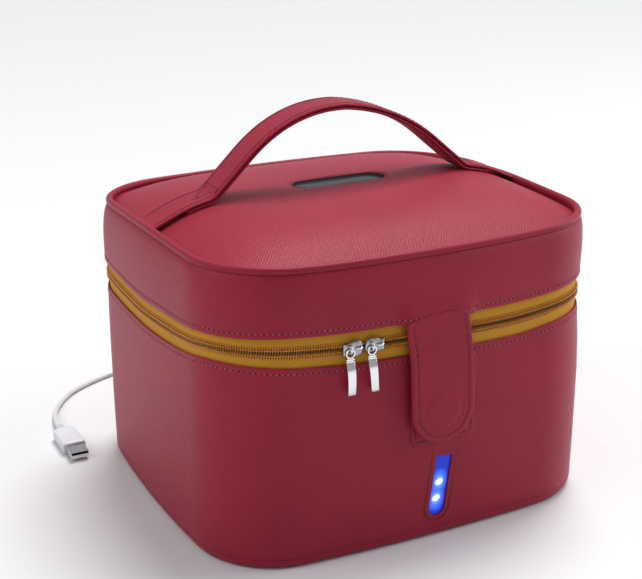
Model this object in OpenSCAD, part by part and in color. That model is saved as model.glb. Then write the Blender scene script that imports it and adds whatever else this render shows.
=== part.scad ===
// Baby gear sterilizer case: a soft vanity style case with a zip, a padded lid with a strap handle,
// an ultraviolet lamp module inside the lid and a plug-in power lead.
// Millimetres. X runs along the front, the front faces -Y, and the case stands on Z = 0.

/* [Case] */
// Width of the body at the middle of its side walls
case_width = 262; // [180:1:360]
// Depth of the body at the middle of its front and rear walls
case_depth = 238; // [170:1:340]
// Radius of the four upright corners
corner_radius = 52; // [30:1:80]
// Radius of the slightly bowed front and rear walls
front_bow_radius = 1000; // [600:10:3000]
// Radius of the slightly bowed side walls
side_bow_radius = 850; // [600:10:3000]
// Height of the base up to the edge of its leather
base_height = 122; // [110:1:200]
// Height of the zip band between base and lid
zip_band = 18.4; // [16:0.2:26]
// Height of the lid's side band
lid_band_height = 36.6; // [32:0.2:70]
// Height of the lid's crown above the top of the side band
crown_height = 14.5; // [14:0.1:24]
// Radius of the lid's crown
crown_radius = 900; // [880:10:3000]

/* [Materials] */
// Thickness of the leather cloth
leather = 1.4; // [1:0.1:1.6]
// Thickness of the board that stiffens the walls
board = 2.6; // [2:0.1:4]
// Thickness of the reflective lining
liner = 0.8; // [0.5:0.1:1.2]

/* [Handle and tab] */
// Height of the handle's top above the lid's crown
handle_rise = 49.5; // [42:0.5:70]
// Outer radius of the handle's arch
handle_radius = 93; // [85:1:100]
// Width of the handle strap
strap_width = 24; // [18:1:32]
// Thickness of one layer of the handle strap
strap_layer = 2.1; // [1.5:0.1:2.6]
// Width of the closure tab
tab_width = 41; // [30:1:50]
// Length of the closure tab
tab_length = 75.8; // [66:0.1:84]

/* [Zip] */
// Position of the left slider along the front
slider_left_x = -53; // [-58:0.5:-53]
// Position of the right slider along the front
slider_right_x = -40; // [-40:0.5:-34]
// Length of a slider pull below its hinge line
pull_length = 27; // [18:0.5:34]

/* [Windows and lead] */
// Length of the control window in the lid
window_length = 65; // [50:0.2:90]
// Width of the control window in the lid
window_width = 16.4; // [10:0.2:20]
// Height of the light window's lower centre on the front wall
light_z = 19.5; // [16:0.1:24]
// Outer diameter of the power lead
cord_diameter = 3.5; // [3:0.1:4]

/* [Hidden] */
$fn = 64;

leather_color = [0.66, 0.16, 0.27];
leather_dark = [0.56, 0.12, 0.22];
tape_color = [0.75, 0.5, 0.14];
coil_color = [0.66, 0.38, 0.08];
silver_color = [0.78, 0.79, 0.8];
board_color = [0.35, 0.33, 0.31];
white_color = [0.92, 0.92, 0.93];
circuit_color = [0.1, 0.35, 0.2];
smoke_color = [0.12, 0.14, 0.15];
zinc_color = [0.72, 0.73, 0.74];

lid_edge = base_height + zip_band;
zip_mid = base_height + zip_band / 2;
seam_z = lid_edge + lid_band_height;
crown_z = seam_z + crown_height;
front_y = case_depth / 2;
handle_top = crown_z + handle_rise;

// Tape and coil: the tape lies inside the leather, the coil stands on the tape's outer face.
tape_out = -leather;
tape_in = -leather - 0.7;
tape_hold = 12;
slit = 1.2;
coil_height = 2.4;
coil_out = 0.9;
lid_out = 1;

// The plan outline: four long arcs joined by four corner arcs, all tangent.
front_centre = case_depth / 2 - front_bow_radius;
side_centre = case_width / 2 - side_bow_radius;

function settle(n, cx) =
    let (cy = sqrt(pow(front_bow_radius - corner_radius, 2) - cx * cx) + front_centre,
        nx = sqrt(pow(side_bow_radius - corner_radius, 2) - cy * cy) + side_centre)
    n == 0 ? [nx, cy] : settle(n - 1, nx);

corner = settle(20, case_width / 2 - corner_radius);
front_half = atan2(corner[0], corner[1] - front_centre);
side_half = atan2(corner[1], corner[0] - side_centre);

function quarter(o) = concat(
    [for (i = [0 : 4]) let (a = side_half * i / 5)
        [side_centre + (side_bow_radius + o) * cos(a), (side_bow_radius + o) * sin(a)]],
    [for (i = [0 : 12]) let (a = side_half + (90 - front_half - side_half) * i / 12)
        [corner[0] + (corner_radius + o) * cos(a), corner[1] + (corner_radius + o) * sin(a)]],
    [for (i = [1 : 6]) let (a = 90 - front_half + front_half * i / 6)
        [(front_bow_radius + o) * cos(a), front_centre + (front_bow_radius + o) * sin(a)]]);

function outline(o) = let (q = quarter(o), n = len(q)) concat(
    q,
    [for (i = [n - 2 : -1 : 0]) [-q[i][0], q[i][1]]],
    [for (i = [1 : n - 1]) [-q[i][0], -q[i][1]]],
    [for (i = [n - 2 : -1 : 1]) [q[i][0], -q[i][1]]]);

// Distance that the front wall falls back at a place x along it.
function fall(x) = front_bow_radius - sqrt(front_bow_radius * front_bow_radius - x * x);

module slab(o, z0, z1) {
    translate([0, 0, z0])
        linear_extrude(z1 - z0)
            polygon(outline(o));
}

module wall(o_in, o_out, z0, z1) {
    translate([0, 0, z0])
        linear_extrude(z1 - z0)
            difference() {
                polygon(outline(o_out));
                polygon(outline(o_in));
            }
}

module box(x0, x1, y0, y1, z0, z1) {
    translate([x0, y0, z0])
        cube([x1 - x0, y1 - y0, z1 - z0]);
}

// Extrudes a shape drawn in X and Z from y0 to y1.
module along_y(y0, y1) {
    translate([0, y1, 0])
        rotate([90, 0, 0])
            linear_extrude(y1 - y0)
                children();
}

// Extrudes a shape drawn in Y and Z from x0 to x1.
module along_x(x0, x1) {
    translate([x0, 0, 0])
        rotate([90, 0, 90])
            linear_extrude(x1 - x0)
                children();
}

module crown_ball(drop) {
    translate([0, 0, crown_z - crown_radius])
        sphere(r = crown_radius - drop, $fn = 200);
}

// ---- base ----

light_r = 5.3;
light_lean = -7.5;
light_x = 4.6;
light_top = light_z + 32.8;
light_x0 = light_x - 8.6;
light_x1 = light_x + 12.4;
light_z0 = light_z - 9.5;
light_z1 = light_top + 5;

module light_shape(grow) {
    intersection() {
        translate([light_x, light_z])
            rotate(light_lean)
                union() {
                    circle(r = light_r + grow);
                    translate([-light_r - grow, 0])
                        square([2 * (light_r + grow), 45]);
                }
        translate([light_x - 20, light_z - 10])
            square([40, light_top - light_z + 10 + grow]);
    }
}

socket_x = 40;
socket_z = 26;
socket_y = front_y - fall(socket_x);
power_x0 = socket_x - 20;
power_x1 = socket_x + 20;
power_y = front_y - fall(power_x1) - leather - 0.2;
power_z0 = 12;
power_z1 = 42;
power_depth = 9;

base_floor = 2 * leather;
board_in = -leather - board;
liner_in = board_in - liner;
light_back = -front_y + leather + 8.2;

module light_pocket() {
    box(light_x0, light_x1, -front_y - 5, light_back, light_z0, light_z1);
}

module power_pocket() {
    box(power_x0, power_x1, power_y - power_depth, front_y + 5, power_z0, power_z1);
}

ribbon_x0 = 36;
ribbon_x1 = 46;
ribbon_thickness = 0.3;

module ribbon_channel(z0, z1) {
    box(ribbon_x0 - 0.4, ribbon_x1 + 0.4, front_y - 10, front_y + 5, z0, z1);
}

module base_cover() {
    color(leather_color)
        difference() {
            union() {
                slab(-1.2, 0, leather);
                slab(0, leather, base_height);
            }
            slab(-leather, base_floor, base_height + 1);
            along_y(-front_y - 5, -front_y + 10)
                light_shape(0);
            box(socket_x - 6.4, socket_x + 6.4, front_y - 10, front_y + 5, socket_z - 4, socket_z + 4);
        }
}

module base_stiffener() {
    color(board_color)
        difference() {
            union() {
                wall(board_in, -leather, base_floor, base_height - tape_hold);
                wall(board_in, tape_in, base_height - tape_hold, base_height - 3);
            }
            light_pocket();
            power_pocket();
            ribbon_channel(power_z1 - 1, base_height);
            along_y(-front_y - 2, -front_y + leather + 1.6)
                translate([snap_x, snap_z])
                    circle(d = magnet_diameter);
            box(magnet_x - magnet_half - 0.2, magnet_x + magnet_half + 0.2, -front_y - 2, magnet_y + 1, magnet_z - 3.2,
                base_height);
        }
}

module base_floor_board() {
    color(board_color)
        slab(board_in, base_floor, base_floor + board);
}

module base_liner() {
    color(silver_color)
        difference() {
            slab(board_in, base_floor + board, base_height - 3);
            slab(liner_in, base_floor + board + liner, base_height);
            light_pocket();
            power_pocket();
        }
}

module tape(z0, z1) {
    wall(tape_in, tape_out, z0, z1);
}

// The coil stops where the rear strip starts.
module coil_band(z0, z1) {
    difference() {
        wall(tape_out, coil_out, z0, z1);
        box(-hinge_half - 2, hinge_half + 2, 0, case_depth, z0 - 1, z1 + 1);
    }
}

module zip_tape_lower() {
    color(tape_color)
        tape(base_height - tape_hold, zip_mid - slit / 2 - 0.2);
}

module zip_coil_lower() {
    color(coil_color)
        coil_band(zip_mid - slit / 2 - coil_height, zip_mid - slit / 2);
}

// Rear strip: its two leaves meet at the hinge line, which runs along its outer face.
hinge_half = 75;
hinge_leaf = 31;
strip_in = lid_out + 0.3;
strip_out = strip_in + leather;
hinge_y = front_y + strip_out + 0.3;

module hinge_strip_lower() {
    color(leather_dark)
        intersection() {
            union() {
                wall(0, strip_out, zip_mid - hinge_leaf, base_height);
                wall(tape_out, strip_out, base_height, zip_mid - 0.3);
            }
            box(-hinge_half, hinge_half, 0, case_depth, 0, zip_mid);
        }
}

// The tab leans a little to the right on its way down.
tab_lean = 2.4;
tab_x = 0.9;
tab_top = lid_edge - 0.4;
snap_drop = tab_length - tab_width / 2;
snap_x = tab_x + snap_drop * sin(tab_lean);
snap_z = tab_top - snap_drop * cos(tab_lean);
magnet_diameter = 16;
patch_top = base_height - 6;
patch_bottom = snap_z - 18;
patch_half = tab_width / 2;
patch_x = snap_x + 3;
patch_out = 0.9;

module closure_patch() {
    color(leather_dark)
        intersection() {
            wall(0, patch_out, patch_bottom, patch_top);
            box(patch_x - patch_half, patch_x + patch_half, -case_depth, 0, 0, case_depth);
        }
}

module patch_magnet() {
    color(zinc_color)
        along_y(-front_y + leather + 0.1, -front_y + leather + 1.6)
            translate([snap_x, snap_z])
                circle(d = magnet_diameter);
}

magnet_x = 62;
magnet_z = base_height - 6.5;
magnet_half = 7;
magnet_y = -front_y + fall(magnet_x + magnet_half) - tape_in + 0.1;

module closing_magnet() {
    color(zinc_color)
        box(magnet_x - magnet_half, magnet_x + magnet_half, magnet_y, magnet_y + 0.8,
            magnet_z - 3, magnet_z + 3);
}

lens_front = -front_y + 0.9;
housing_front = -front_y + fall(light_x1) + leather + 0.1;

module light_lens() {
    color([0.75, 0.85, 0.95, 0.5])
        along_y(lens_front, lens_front + 1.5)
            light_shape(-0.15);
}

module light_housing() {
    color(white_color)
        difference() {
            box(light_x0, light_x1, housing_front, light_back, light_z0, light_z1);
            box(light_x0 + 1.4, light_x1 - 1.4, housing_front + 1.4, light_back - 1.4,
                light_z0 + 1.4, light_z1 - 1.4);
            along_y(housing_front - 1, housing_front + 2)
                light_shape(0);
        }
}

module light_board() {
    color(circuit_color)
        box(light_x0 + 1.6, light_x1 - 1.6, light_back - 3, light_back - 1.4,
            light_z0 + 1.6, light_z1 - 1.6);
}

light_spots = [for (up = [0.5, 0.185])
    [light_x + (light_top - light_z) * up * sin(light_lean), light_z + (light_top - light_z) * up]];

module light_leds() {
    color([0.9, 0.95, 1])
        for (p = light_spots)
            box(p[0] - 1.4, p[0] + 1.4, light_back - 4.6, light_back - 3, p[1] - 1.7, p[1] + 1.7);
}

module power_housing() {
    color(white_color)
        difference() {
            box(power_x0, power_x1, power_y - power_depth, power_y, power_z0, power_z1);
            box(power_x0 + 1.4, power_x1 - 1.4, power_y - power_depth + 1.4, power_y - 1.4,
                power_z0 + 1.4, power_z1 - 1.4);
            box(socket_x - 5.6, socket_x + 5.6, power_y - 3, power_y + 1, socket_z - 2.9, socket_z + 2.9);
        }
}

board_y = power_y - power_depth + 1.4;

module power_board() {
    color(circuit_color)
        box(power_x0 + 3, power_x1 - 3, board_y, board_y + 1.6, power_z0 + 3, power_z1 - 3);
}

socket_mouth = socket_y - 1;

module power_socket() {
    color(zinc_color)
        difference() {
            box(socket_x - 4.5, socket_x + 4.5, board_y + 1.6, socket_mouth,
                socket_z - 1.65, socket_z + 1.65);
            box(socket_x - 4.2, socket_x + 4.2, board_y + 2.2, socket_mouth + 1,
                socket_z - 1.35, socket_z + 1.35);
        }
}

ribbon_y = front_y - fall(ribbon_x1) - leather - 1.12;

module ribbon_lower() {
    color(white_color)
        box(ribbon_x0, ribbon_x1, ribbon_y, ribbon_y + ribbon_thickness, power_z1, zip_mid - 0.3);
}

// ---- power lead ----

cord_r = cord_diameter / 2;
plug_end = socket_y + 24;

module lead_plug() {
    color(white_color)
        union() {
            box(socket_x - 4, socket_x + 4, socket_mouth - 5.6, socket_y + 0.6,
                socket_z - 1.2, socket_z + 1.2);
            box(socket_x - 5.5, socket_x + 5.5, socket_y + 0.6, socket_y + 17,
                socket_z - 3.2, socket_z + 3.2);
            translate([socket_x, socket_y + 17, socket_z])
                rotate([-90, 0, 0])
                    cylinder(r1 = 3, r2 = 2.3, h = plug_end - socket_y - 17);
        }
}

function unit(v) = v / norm(v);

// Frames along a route: each ring's sideways direction is level, its up direction follows.
function ring_at(pts, i, r) =
    let (a = pts[max(i - 1, 0)], b = pts[min(i + 1, len(pts) - 1)], t = unit(b - a),
        s = unit(cross(t, [0, 0, 1])), u = cross(s, t))
    [for (k = [0 : 7]) pts[i] + r * (cos(45 * k) * s + sin(45 * k) * u)];

function blend_at(p0, p1, p2, p3, t) =
    0.5 * (2 * p1 + (p2 - p0) * t + (2 * p0 - 5 * p1 + 4 * p2 - p3) * t * t
        + (3 * p1 - p0 - 3 * p2 + p3) * t * t * t);

function smooth_route(p, n) = concat(
    [for (i = [0 : len(p) - 2]) for (k = [0 : n - 1])
        blend_at(p[max(i - 1, 0)], p[i], p[i + 1], p[min(i + 2, len(p) - 1)], k / n)],
    [p[len(p) - 1]]);

module tube(p, n, r) {
    q = smooth_route(p, n);
    m = len(q);
    polyhedron(
        points = [for (i = [0 : m - 1]) each ring_at(q, i, r)],
        faces = concat(
            [[for (k = [0 : 7]) k]],
            [for (i = [0 : m - 2]) for (k = [0 : 7])
                [i * 8 + k, (i + 1) * 8 + k, (i + 1) * 8 + (k + 1) % 8, i * 8 + (k + 1) % 8]],
            [[for (k = [7 : -1 : 0]) (m - 1) * 8 + k]]));
}

coil_x = socket_x - 20;
coil_y = plug_end + 53.8;
coil_mid = 20;
coil_r = 4.8;
floor_z = cord_r + 0.05;

near_route = [[socket_x, plug_end, socket_z], [socket_x, plug_end + 9, socket_z - 0.5],
    [socket_x, plug_end + 20, socket_z - 5], [socket_x, plug_end + 29, 13], [socket_x, plug_end + 38, 7],
    [socket_x, plug_end + 47, 4.6], [socket_x, coil_y, 4.4]];

side_x = -case_width / 2;
usb_x = side_x - 23;
usb_y = coil_y - 74;
usb_z = 4.2;

far_route = [[coil_x, coil_y + coil_mid, 4.4], [coil_x - 12, coil_y + coil_mid, 3.4],
    [coil_x - 26, coil_y + coil_mid - 1, floor_z], [coil_x - 60, coil_y + 15, floor_z],
    [side_x + 51, coil_y + 7, floor_z], [side_x + 17, coil_y - 7, floor_z],
    [side_x - 7, coil_y - 28, floor_z], [side_x - 19, coil_y - 51, 2.6],
    [usb_x + 0.4, usb_y + 8, 3.9], [usb_x, usb_y, usb_z]];

module lead_near() {
    color(white_color)
        tube(near_route, 3, cord_r);
}

module lead_far() {
    color(white_color)
        tube(far_route, 3, cord_r);
}

module lead_coil() {
    color(white_color)
        translate([coil_x, coil_y, coil_r])
            rotate_extrude($fn = 96)
                translate([coil_mid, 0])
                    circle(r = coil_r);
}

module lead_tie() {
    color([0.15, 0.15, 0.16])
        translate([coil_x - coil_mid, coil_y, 0])
            difference() {
                box(-6.2, 6.2, -4, 4, 0, 11);
                box(-5, 5, -5, 5, -1, 9.9);
            }
}

module usb_plug() {
    color(white_color)
        union() {
            box(usb_x - 7.9, usb_x + 7.9, usb_y - 37, usb_y - 9, 0, 2 * usb_z);
            translate([usb_x, usb_y, usb_z])
                rotate([90, 0, 0])
                    cylinder(r1 = 2.4, r2 = 3.4, h = 9);
        }
}

module usb_shell() {
    color(zinc_color)
        difference() {
            box(usb_x - 6, usb_x + 6, usb_y - 49, usb_y - 37, usb_z - 2.25, usb_z + 2.25);
            box(usb_x - 5.7, usb_x + 5.7, usb_y - 50, usb_y - 37.4, usb_z + 0.1, usb_z + 1.95);
        }
}

// ---- lid ----

lid_board_out = lid_out - leather;
lid_board_in = lid_board_out - board;
lid_liner_in = lid_board_in - liner;
skin_out = -4.5;
lid_board_bottom = lid_edge + tape_hold;
lid_ceiling = seam_z - board;

module lid_band() {
    color(leather_color)
        union() {
            wall(tape_out, lid_out, lid_edge, lid_board_bottom);
            wall(lid_board_out, lid_out, lid_board_bottom, seam_z);
        }
}

module lid_piping() {
    color(leather_color)
        union() {
            wall(skin_out, 0.6, seam_z, seam_z + 1.2);
            wall(skin_out, 0.9, seam_z + 1.2, seam_z + 3.2);
            wall(skin_out, 0.2, seam_z + 3.2, seam_z + 4.4);
        }
}

module stadium(length, width) {
    union() {
        square([length - width, width], center = true);
        translate([(length - width) / 2, 0])
            circle(d = width);
        translate([-(length - width) / 2, 0])
            circle(d = width);
    }
}

module lid_top_skin() {
    color(leather_color)
        difference() {
            intersection() {
                slab(skin_out, seam_z, crown_z + 5);
                crown_ball(0);
            }
            intersection() {
                slab(skin_out - leather, seam_z - 1, crown_z + 5);
                crown_ball(leather);
            }
            translate([0, 0, crown_z - 10])
                linear_extrude(20)
                    stadium(window_length + 0.6, window_width + 0.6);
        }
}

control_x = window_length / 2 + 2.5;
control_y = window_width / 2 + 2.5;
control_floor = seam_z + 2;
window_top = crown_z - 1.4;

module control_pocket() {
    box(-control_x, control_x, -control_y, control_y, control_floor, crown_z);
}

module lid_foam() {
    color([0.85, 0.82, 0.7])
        difference() {
            intersection() {
                slab(skin_out - leather, seam_z, crown_z);
                crown_ball(leather);
            }
            control_pocket();
            box(-8, 8, -4, 4, seam_z - 1, control_floor + 1);
        }
}

module lid_stiffener() {
    color(board_color)
        difference() {
            union() {
                slab(lid_board_out, lid_board_bottom, seam_z);
                slab(tape_in, lid_edge + 4, lid_board_bottom);
            }
            slab(lid_board_in, lid_edge, lid_ceiling);
            box(-8, 8, -4, 4, lid_ceiling - 1, seam_z + 1);
            ribbon_channel(lid_edge, lid_ceiling);
        }
}

module lid_liner() {
    color(silver_color)
        difference() {
            slab(lid_board_in, lid_edge + 4, lid_ceiling);
            slab(lid_liner_in, lid_edge, lid_ceiling - liner);
            box(-8, 8, -4, 4, lid_ceiling - 2, lid_ceiling + 1);
        }
}

module zip_tape_upper() {
    color(tape_color)
        tape(zip_mid + slit / 2 + 0.2, lid_board_bottom);
}

module zip_coil_upper() {
    color(coil_color)
        coil_band(zip_mid + slit / 2, zip_mid + slit / 2 + coil_height);
}

module hinge_strip_upper() {
    color(leather_dark)
        intersection() {
            union() {
                wall(lid_out, strip_out, lid_edge, zip_mid + hinge_leaf);
                wall(tape_out, strip_out, zip_mid + 0.3, lid_edge);
            }
            box(-hinge_half, hinge_half, 0, case_depth, zip_mid, seam_z);
        }
}

handle_centre = handle_top - handle_radius;
root_inner = 72;
root_outer = case_width / 2 - 6;
root_thickness = 2;
root_top = crown_z + root_thickness - (crown_radius - sqrt(pow(crown_radius, 2) - pow(root_inner, 2)));
lean_z = root_top + 0.4 + strap_width / 2;

module strap_root(x0, x1) {
    color(leather_color)
        difference() {
            intersection() {
                box(x0, x1, -strap_width / 2, strap_width / 2, seam_z, crown_z + 5);
                crown_ball(-root_thickness);
            }
            crown_ball(0);
        }
}

module strap_root_left() {
    strap_root(-root_outer, -root_inner);
}

module strap_root_right() {
    strap_root(root_inner, root_outer);
}

module control_window() {
    color(smoke_color)
        translate([0, 0, window_top - 1.2])
            linear_extrude(1.2)
                stadium(window_length, window_width);
}

module control_housing() {
    color([0.12, 0.12, 0.13])
        difference() {
            box(-control_x, control_x, -control_y, control_y, control_floor, window_top - 1.2);
            box(-control_x + 1.5, control_x - 1.5, -control_y + 1.5, control_y - 1.5,
                control_floor + 1.5, crown_z);
            box(-6, 6, -3, 3, control_floor - 1, control_floor + 2);
        }
}

module control_board() {
    color(circuit_color)
        union() {
            box(-control_x + 1.7, control_x - 1.7, -control_y + 1.7, control_y - 1.7,
                window_top - 5.2, window_top - 3.6);
            translate([0, 0, window_top - 3.6])
                cylinder(d = 10, h = 2.2);
            box(-26, -14, -4, 4, window_top - 3.6, window_top - 2.2);
            box(14, 26, -4, 4, window_top - 3.6, window_top - 2.2);
        }
}

lamp_x = 66;
lamp_y = 30;
lamp_top = lid_ceiling - liner;
lamp_depth = 9;

module lamp_housing() {
    color(white_color)
        difference() {
            box(-lamp_x, lamp_x, -lamp_y, lamp_y, lamp_top - lamp_depth, lamp_top);
            box(-lamp_x + 3, lamp_x - 3, -lamp_y + 3, lamp_y - 3, lamp_top - lamp_depth - 1,
                lamp_top - 1.5);
            box(-6, 6, -3, 3, lamp_top - 3, lamp_top + 1);
        }
}

module lamp_board() {
    color(silver_color)
        box(-lamp_x + 3.2, lamp_x - 3.2, -lamp_y + 3.2, lamp_y - 3.2, lamp_top - 3.1, lamp_top - 1.5);
}

module lamp_leds() {
    color([0.8, 0.7, 0.95])
        for (x = [-3, -1, 1, 3] * (lamp_x - 6) / 4)
            for (y = [-1, 1] * (lamp_y - 2) / 2)
                box(x - 1.75, x + 1.75, y - 1.75, y + 1.75, lamp_top - 4.5, lamp_top - 3.1);
}

module lamp_cover() {
    color([0.8, 0.88, 0.95, 0.4])
        box(-lamp_x + 3.1, lamp_x - 3.1, -lamp_y + 3.1, lamp_y - 3.1, lamp_top - lamp_depth,
            lamp_top - lamp_depth + 1.5);
}

sensor_y = -front_y + fall(magnet_x + 8) - lid_liner_in + 0.1;

module closing_sensor() {
    color(white_color)
        box(magnet_x - 8, magnet_x + 8, sensor_y, sensor_y + 3, lid_edge + 4.5, lid_edge + 12.5);
}

module ribbon_upper() {
    color(white_color)
        box(ribbon_x0, ribbon_x1, ribbon_y, ribbon_y + ribbon_thickness, zip_mid + 0.3, lid_ceiling - 2);
}

// ---- closure tab ----

tab_in = max(coil_out, patch_out) + 0.4;
tab_layer = 1.3;

module tab_shape(grow) {
    intersection() {
        translate([tab_x, tab_top])
            rotate(tab_lean)
                union() {
                    translate([0, -snap_drop])
                        circle(d = tab_width + 2 * grow, $fn = 96);
                    translate([-tab_width / 2 - grow, -snap_drop])
                        square([tab_width + 2 * grow, snap_drop + 4]);
                }
        translate([tab_x - tab_width, tab_top - 2 * tab_length])
            square([2 * tab_width, 2 * tab_length]);
    }
}

module tab_outer() {
    color(leather_color)
        union() {
            along_y(-front_y - tab_in - 2 * tab_layer, -front_y - tab_in - tab_layer)
                tab_shape(0);
            along_y(-front_y - tab_in - 2 * tab_layer - 0.5, -front_y - tab_in - 2 * tab_layer)
                translate([snap_x, snap_z])
                    circle(d = 22);
        }
}

module tab_backing() {
    color(leather_dark)
        difference() {
            along_y(-front_y - tab_in - tab_layer, -front_y - tab_in)
                tab_shape(-0.4);
            along_y(-front_y - tab_in - tab_layer, -front_y - tab_in - tab_layer + 1)
                translate([snap_x, snap_z])
                    circle(d = magnet_diameter + 0.4);
        }
}

module tab_magnet() {
    color(zinc_color)
        along_y(-front_y - tab_in - tab_layer, -front_y - tab_in - tab_layer + 1)
            translate([snap_x, snap_z])
                circle(d = magnet_diameter);
}

// ---- sliders and pulls ----

plate_in = coil_out + 0.55;
plate_out = plate_in + 0.9;
plate_half = 4.6;
back_out = tape_in - 0.55;
pin_out = plate_out + 1;
pin_rise = 0.5;
left_turn = -3.73;
right_turn = -1.95;

// Places children at x along the front wall, turned by a small angle, with Z = 0 on the zip line.
module at_front(x, turn) {
    translate([x, -front_y + fall(x), zip_mid])
        rotate([0, 0, turn])
            children();
}

// The pull hangs from a small arch left of the slider's middle.
pin_x = -2.4;

module slider_plates() {
    along_y(-plate_out, -plate_in)
        polygon([[-5.9, -3.2], [-4.8, -plate_half], [1.6, -plate_half], [5.9, -2.6], [5.9, 2.6],
            [1.6, plate_half], [-4.8, plate_half], [-5.9, 3.2]]);
    along_y(-back_out, -back_out + 0.9)
        polygon([[-5.9, -3.8], [2, -3.8], [5.9, -2.3], [5.9, 2.3], [2, 3.8], [-5.9, 3.8]]);
    box(-2, 2, -plate_in, -back_out, -0.3, 0.3);
}

module slider_arch() {
    along_x(pin_x - 0.7, pin_x + 0.7)
        difference() {
            union() {
                translate([-pin_out, pin_rise])
                    circle(r = 2.9);
                translate([-pin_out, pin_rise - 2.9])
                    square([1, 5.8]);
            }
            translate([-pin_out, pin_rise])
                circle(r = 1.6);
            translate([-pin_out, pin_rise - 1.6])
                square([3, 3.2]);
            translate([-plate_out, pin_rise - 5])
                square([4, 10]);
        }
    box(pin_x + 3.4, 5.4, -plate_out - 1.9, -plate_out, pin_rise - 0.6, pin_rise + 0.6);
}

module pull_body() {
    color(zinc_color)
        translate([pin_x, -pin_out, pin_rise])
            union() {
                translate([0, 0, -2.35])
                    rotate([90, 0, 0])
                        rotate_extrude($fn = 48)
                            translate([2.35, 0])
                                circle(r = 0.65, $fn = 24);
                box(-1.1, 1.1, -0.55, 0.55, -7, -5.1);
                box(-2.5, 2.5, -0.6, 0.6, -pull_length, -6.4);
            }
}

module slider_left() {
    color(zinc_color)
        at_front(slider_left_x, left_turn)
            union() {
                mirror([1, 0, 0])
                    slider_plates();
                slider_arch();
            }
}

module slider_right() {
    color(zinc_color)
        at_front(slider_right_x, right_turn)
            union() {
                slider_plates();
                slider_arch();
            }
}

module pull_left() {
    at_front(slider_left_x, left_turn)
        pull_body();
}

module pull_right() {
    at_front(slider_right_x, right_turn)
        pull_body();
}

// ---- handle ----

module arch(r_in, r_out) {
    intersection() {
        translate([0, 0, handle_centre])
            along_y(-strap_width / 2, strap_width / 2)
                difference() {
                    circle(r = r_out, $fn = 180);
                    circle(r = r_in, $fn = 180);
                }
        union() {
            box(-handle_radius - 5, handle_radius + 5, -strap_width, strap_width, lean_z, handle_top + 5);
            along_x(-handle_radius - 5, handle_radius + 5)
                translate([0, lean_z])
                    circle(d = strap_width);
        }
    }
}

module handle_outer() {
    color(leather_color)
        arch(handle_radius - strap_layer, handle_radius);
}

module handle_inner() {
    color(leather_dark)
        arch(handle_radius - 2 * strap_layer, handle_radius - strap_layer);
}

base_cover();
base_stiffener();
base_floor_board();
base_liner();
zip_tape_lower();
zip_coil_lower();
hinge_strip_lower();
closure_patch();
patch_magnet();
closing_magnet();
light_lens();
light_housing();
light_board();
light_leds();
power_housing();
power_board();
power_socket();
ribbon_lower();
lead_plug();
lead_near();
lead_coil();
lead_tie();
lead_far();
usb_plug();
usb_shell();
lid_band();
lid_piping();
lid_top_skin();
lid_foam();
lid_stiffener();
lid_liner();
zip_tape_upper();
zip_coil_upper();
hinge_strip_upper();
strap_root_left();
strap_root_right();
control_window();
control_housing();
control_board();
lamp_housing();
lamp_board();
lamp_leds();
lamp_cover();
closing_sensor();
ribbon_upper();
tab_outer();
tab_backing();
tab_magnet();
slider_left();
slider_right();
pull_left();
pull_right();
handle_outer();
handle_inner();
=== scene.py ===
# %% [markdown]
# # A soft sterilizer case, dressed in Blender
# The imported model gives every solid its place. This lesson puts the looks around it: leather cloth,
# stitches, a coil zip, a strap handle, two windows and a coiled power lead. All lengths are in
# metres, so millimetres are written as a number times MM.

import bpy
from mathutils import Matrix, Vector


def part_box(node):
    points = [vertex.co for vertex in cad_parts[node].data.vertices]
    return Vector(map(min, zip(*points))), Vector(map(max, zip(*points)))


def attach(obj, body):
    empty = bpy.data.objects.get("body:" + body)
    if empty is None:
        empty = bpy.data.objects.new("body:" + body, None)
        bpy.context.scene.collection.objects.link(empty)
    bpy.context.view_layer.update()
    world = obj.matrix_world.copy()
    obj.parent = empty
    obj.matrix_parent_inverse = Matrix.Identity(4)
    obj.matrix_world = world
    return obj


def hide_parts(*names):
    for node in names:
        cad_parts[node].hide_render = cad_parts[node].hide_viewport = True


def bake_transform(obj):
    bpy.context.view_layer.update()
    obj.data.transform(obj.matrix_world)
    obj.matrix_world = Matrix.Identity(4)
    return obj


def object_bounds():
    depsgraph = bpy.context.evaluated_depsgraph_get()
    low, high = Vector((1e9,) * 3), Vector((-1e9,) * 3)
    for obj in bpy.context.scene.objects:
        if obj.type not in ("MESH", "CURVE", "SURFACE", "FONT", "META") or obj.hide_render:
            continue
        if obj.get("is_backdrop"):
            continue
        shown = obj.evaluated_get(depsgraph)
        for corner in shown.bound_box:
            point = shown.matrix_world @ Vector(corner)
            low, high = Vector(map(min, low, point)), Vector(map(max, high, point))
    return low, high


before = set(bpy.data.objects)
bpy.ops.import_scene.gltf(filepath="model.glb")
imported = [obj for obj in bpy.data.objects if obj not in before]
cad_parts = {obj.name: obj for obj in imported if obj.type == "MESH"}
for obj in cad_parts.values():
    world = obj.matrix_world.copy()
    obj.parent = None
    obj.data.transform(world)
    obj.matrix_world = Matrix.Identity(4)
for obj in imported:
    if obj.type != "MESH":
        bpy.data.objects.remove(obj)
cad_box = [list(corner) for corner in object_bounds()]

import bisect
import math

import bmesh
import bpy
from mathutils import Matrix, Vector

MM = 0.001

# %% [markdown]
# The main sizes come from the frame's own solids, so the pieces fit whatever the frame says. Only the
# radii of the plan outline are repeated here, because a box can't tell them.

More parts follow.
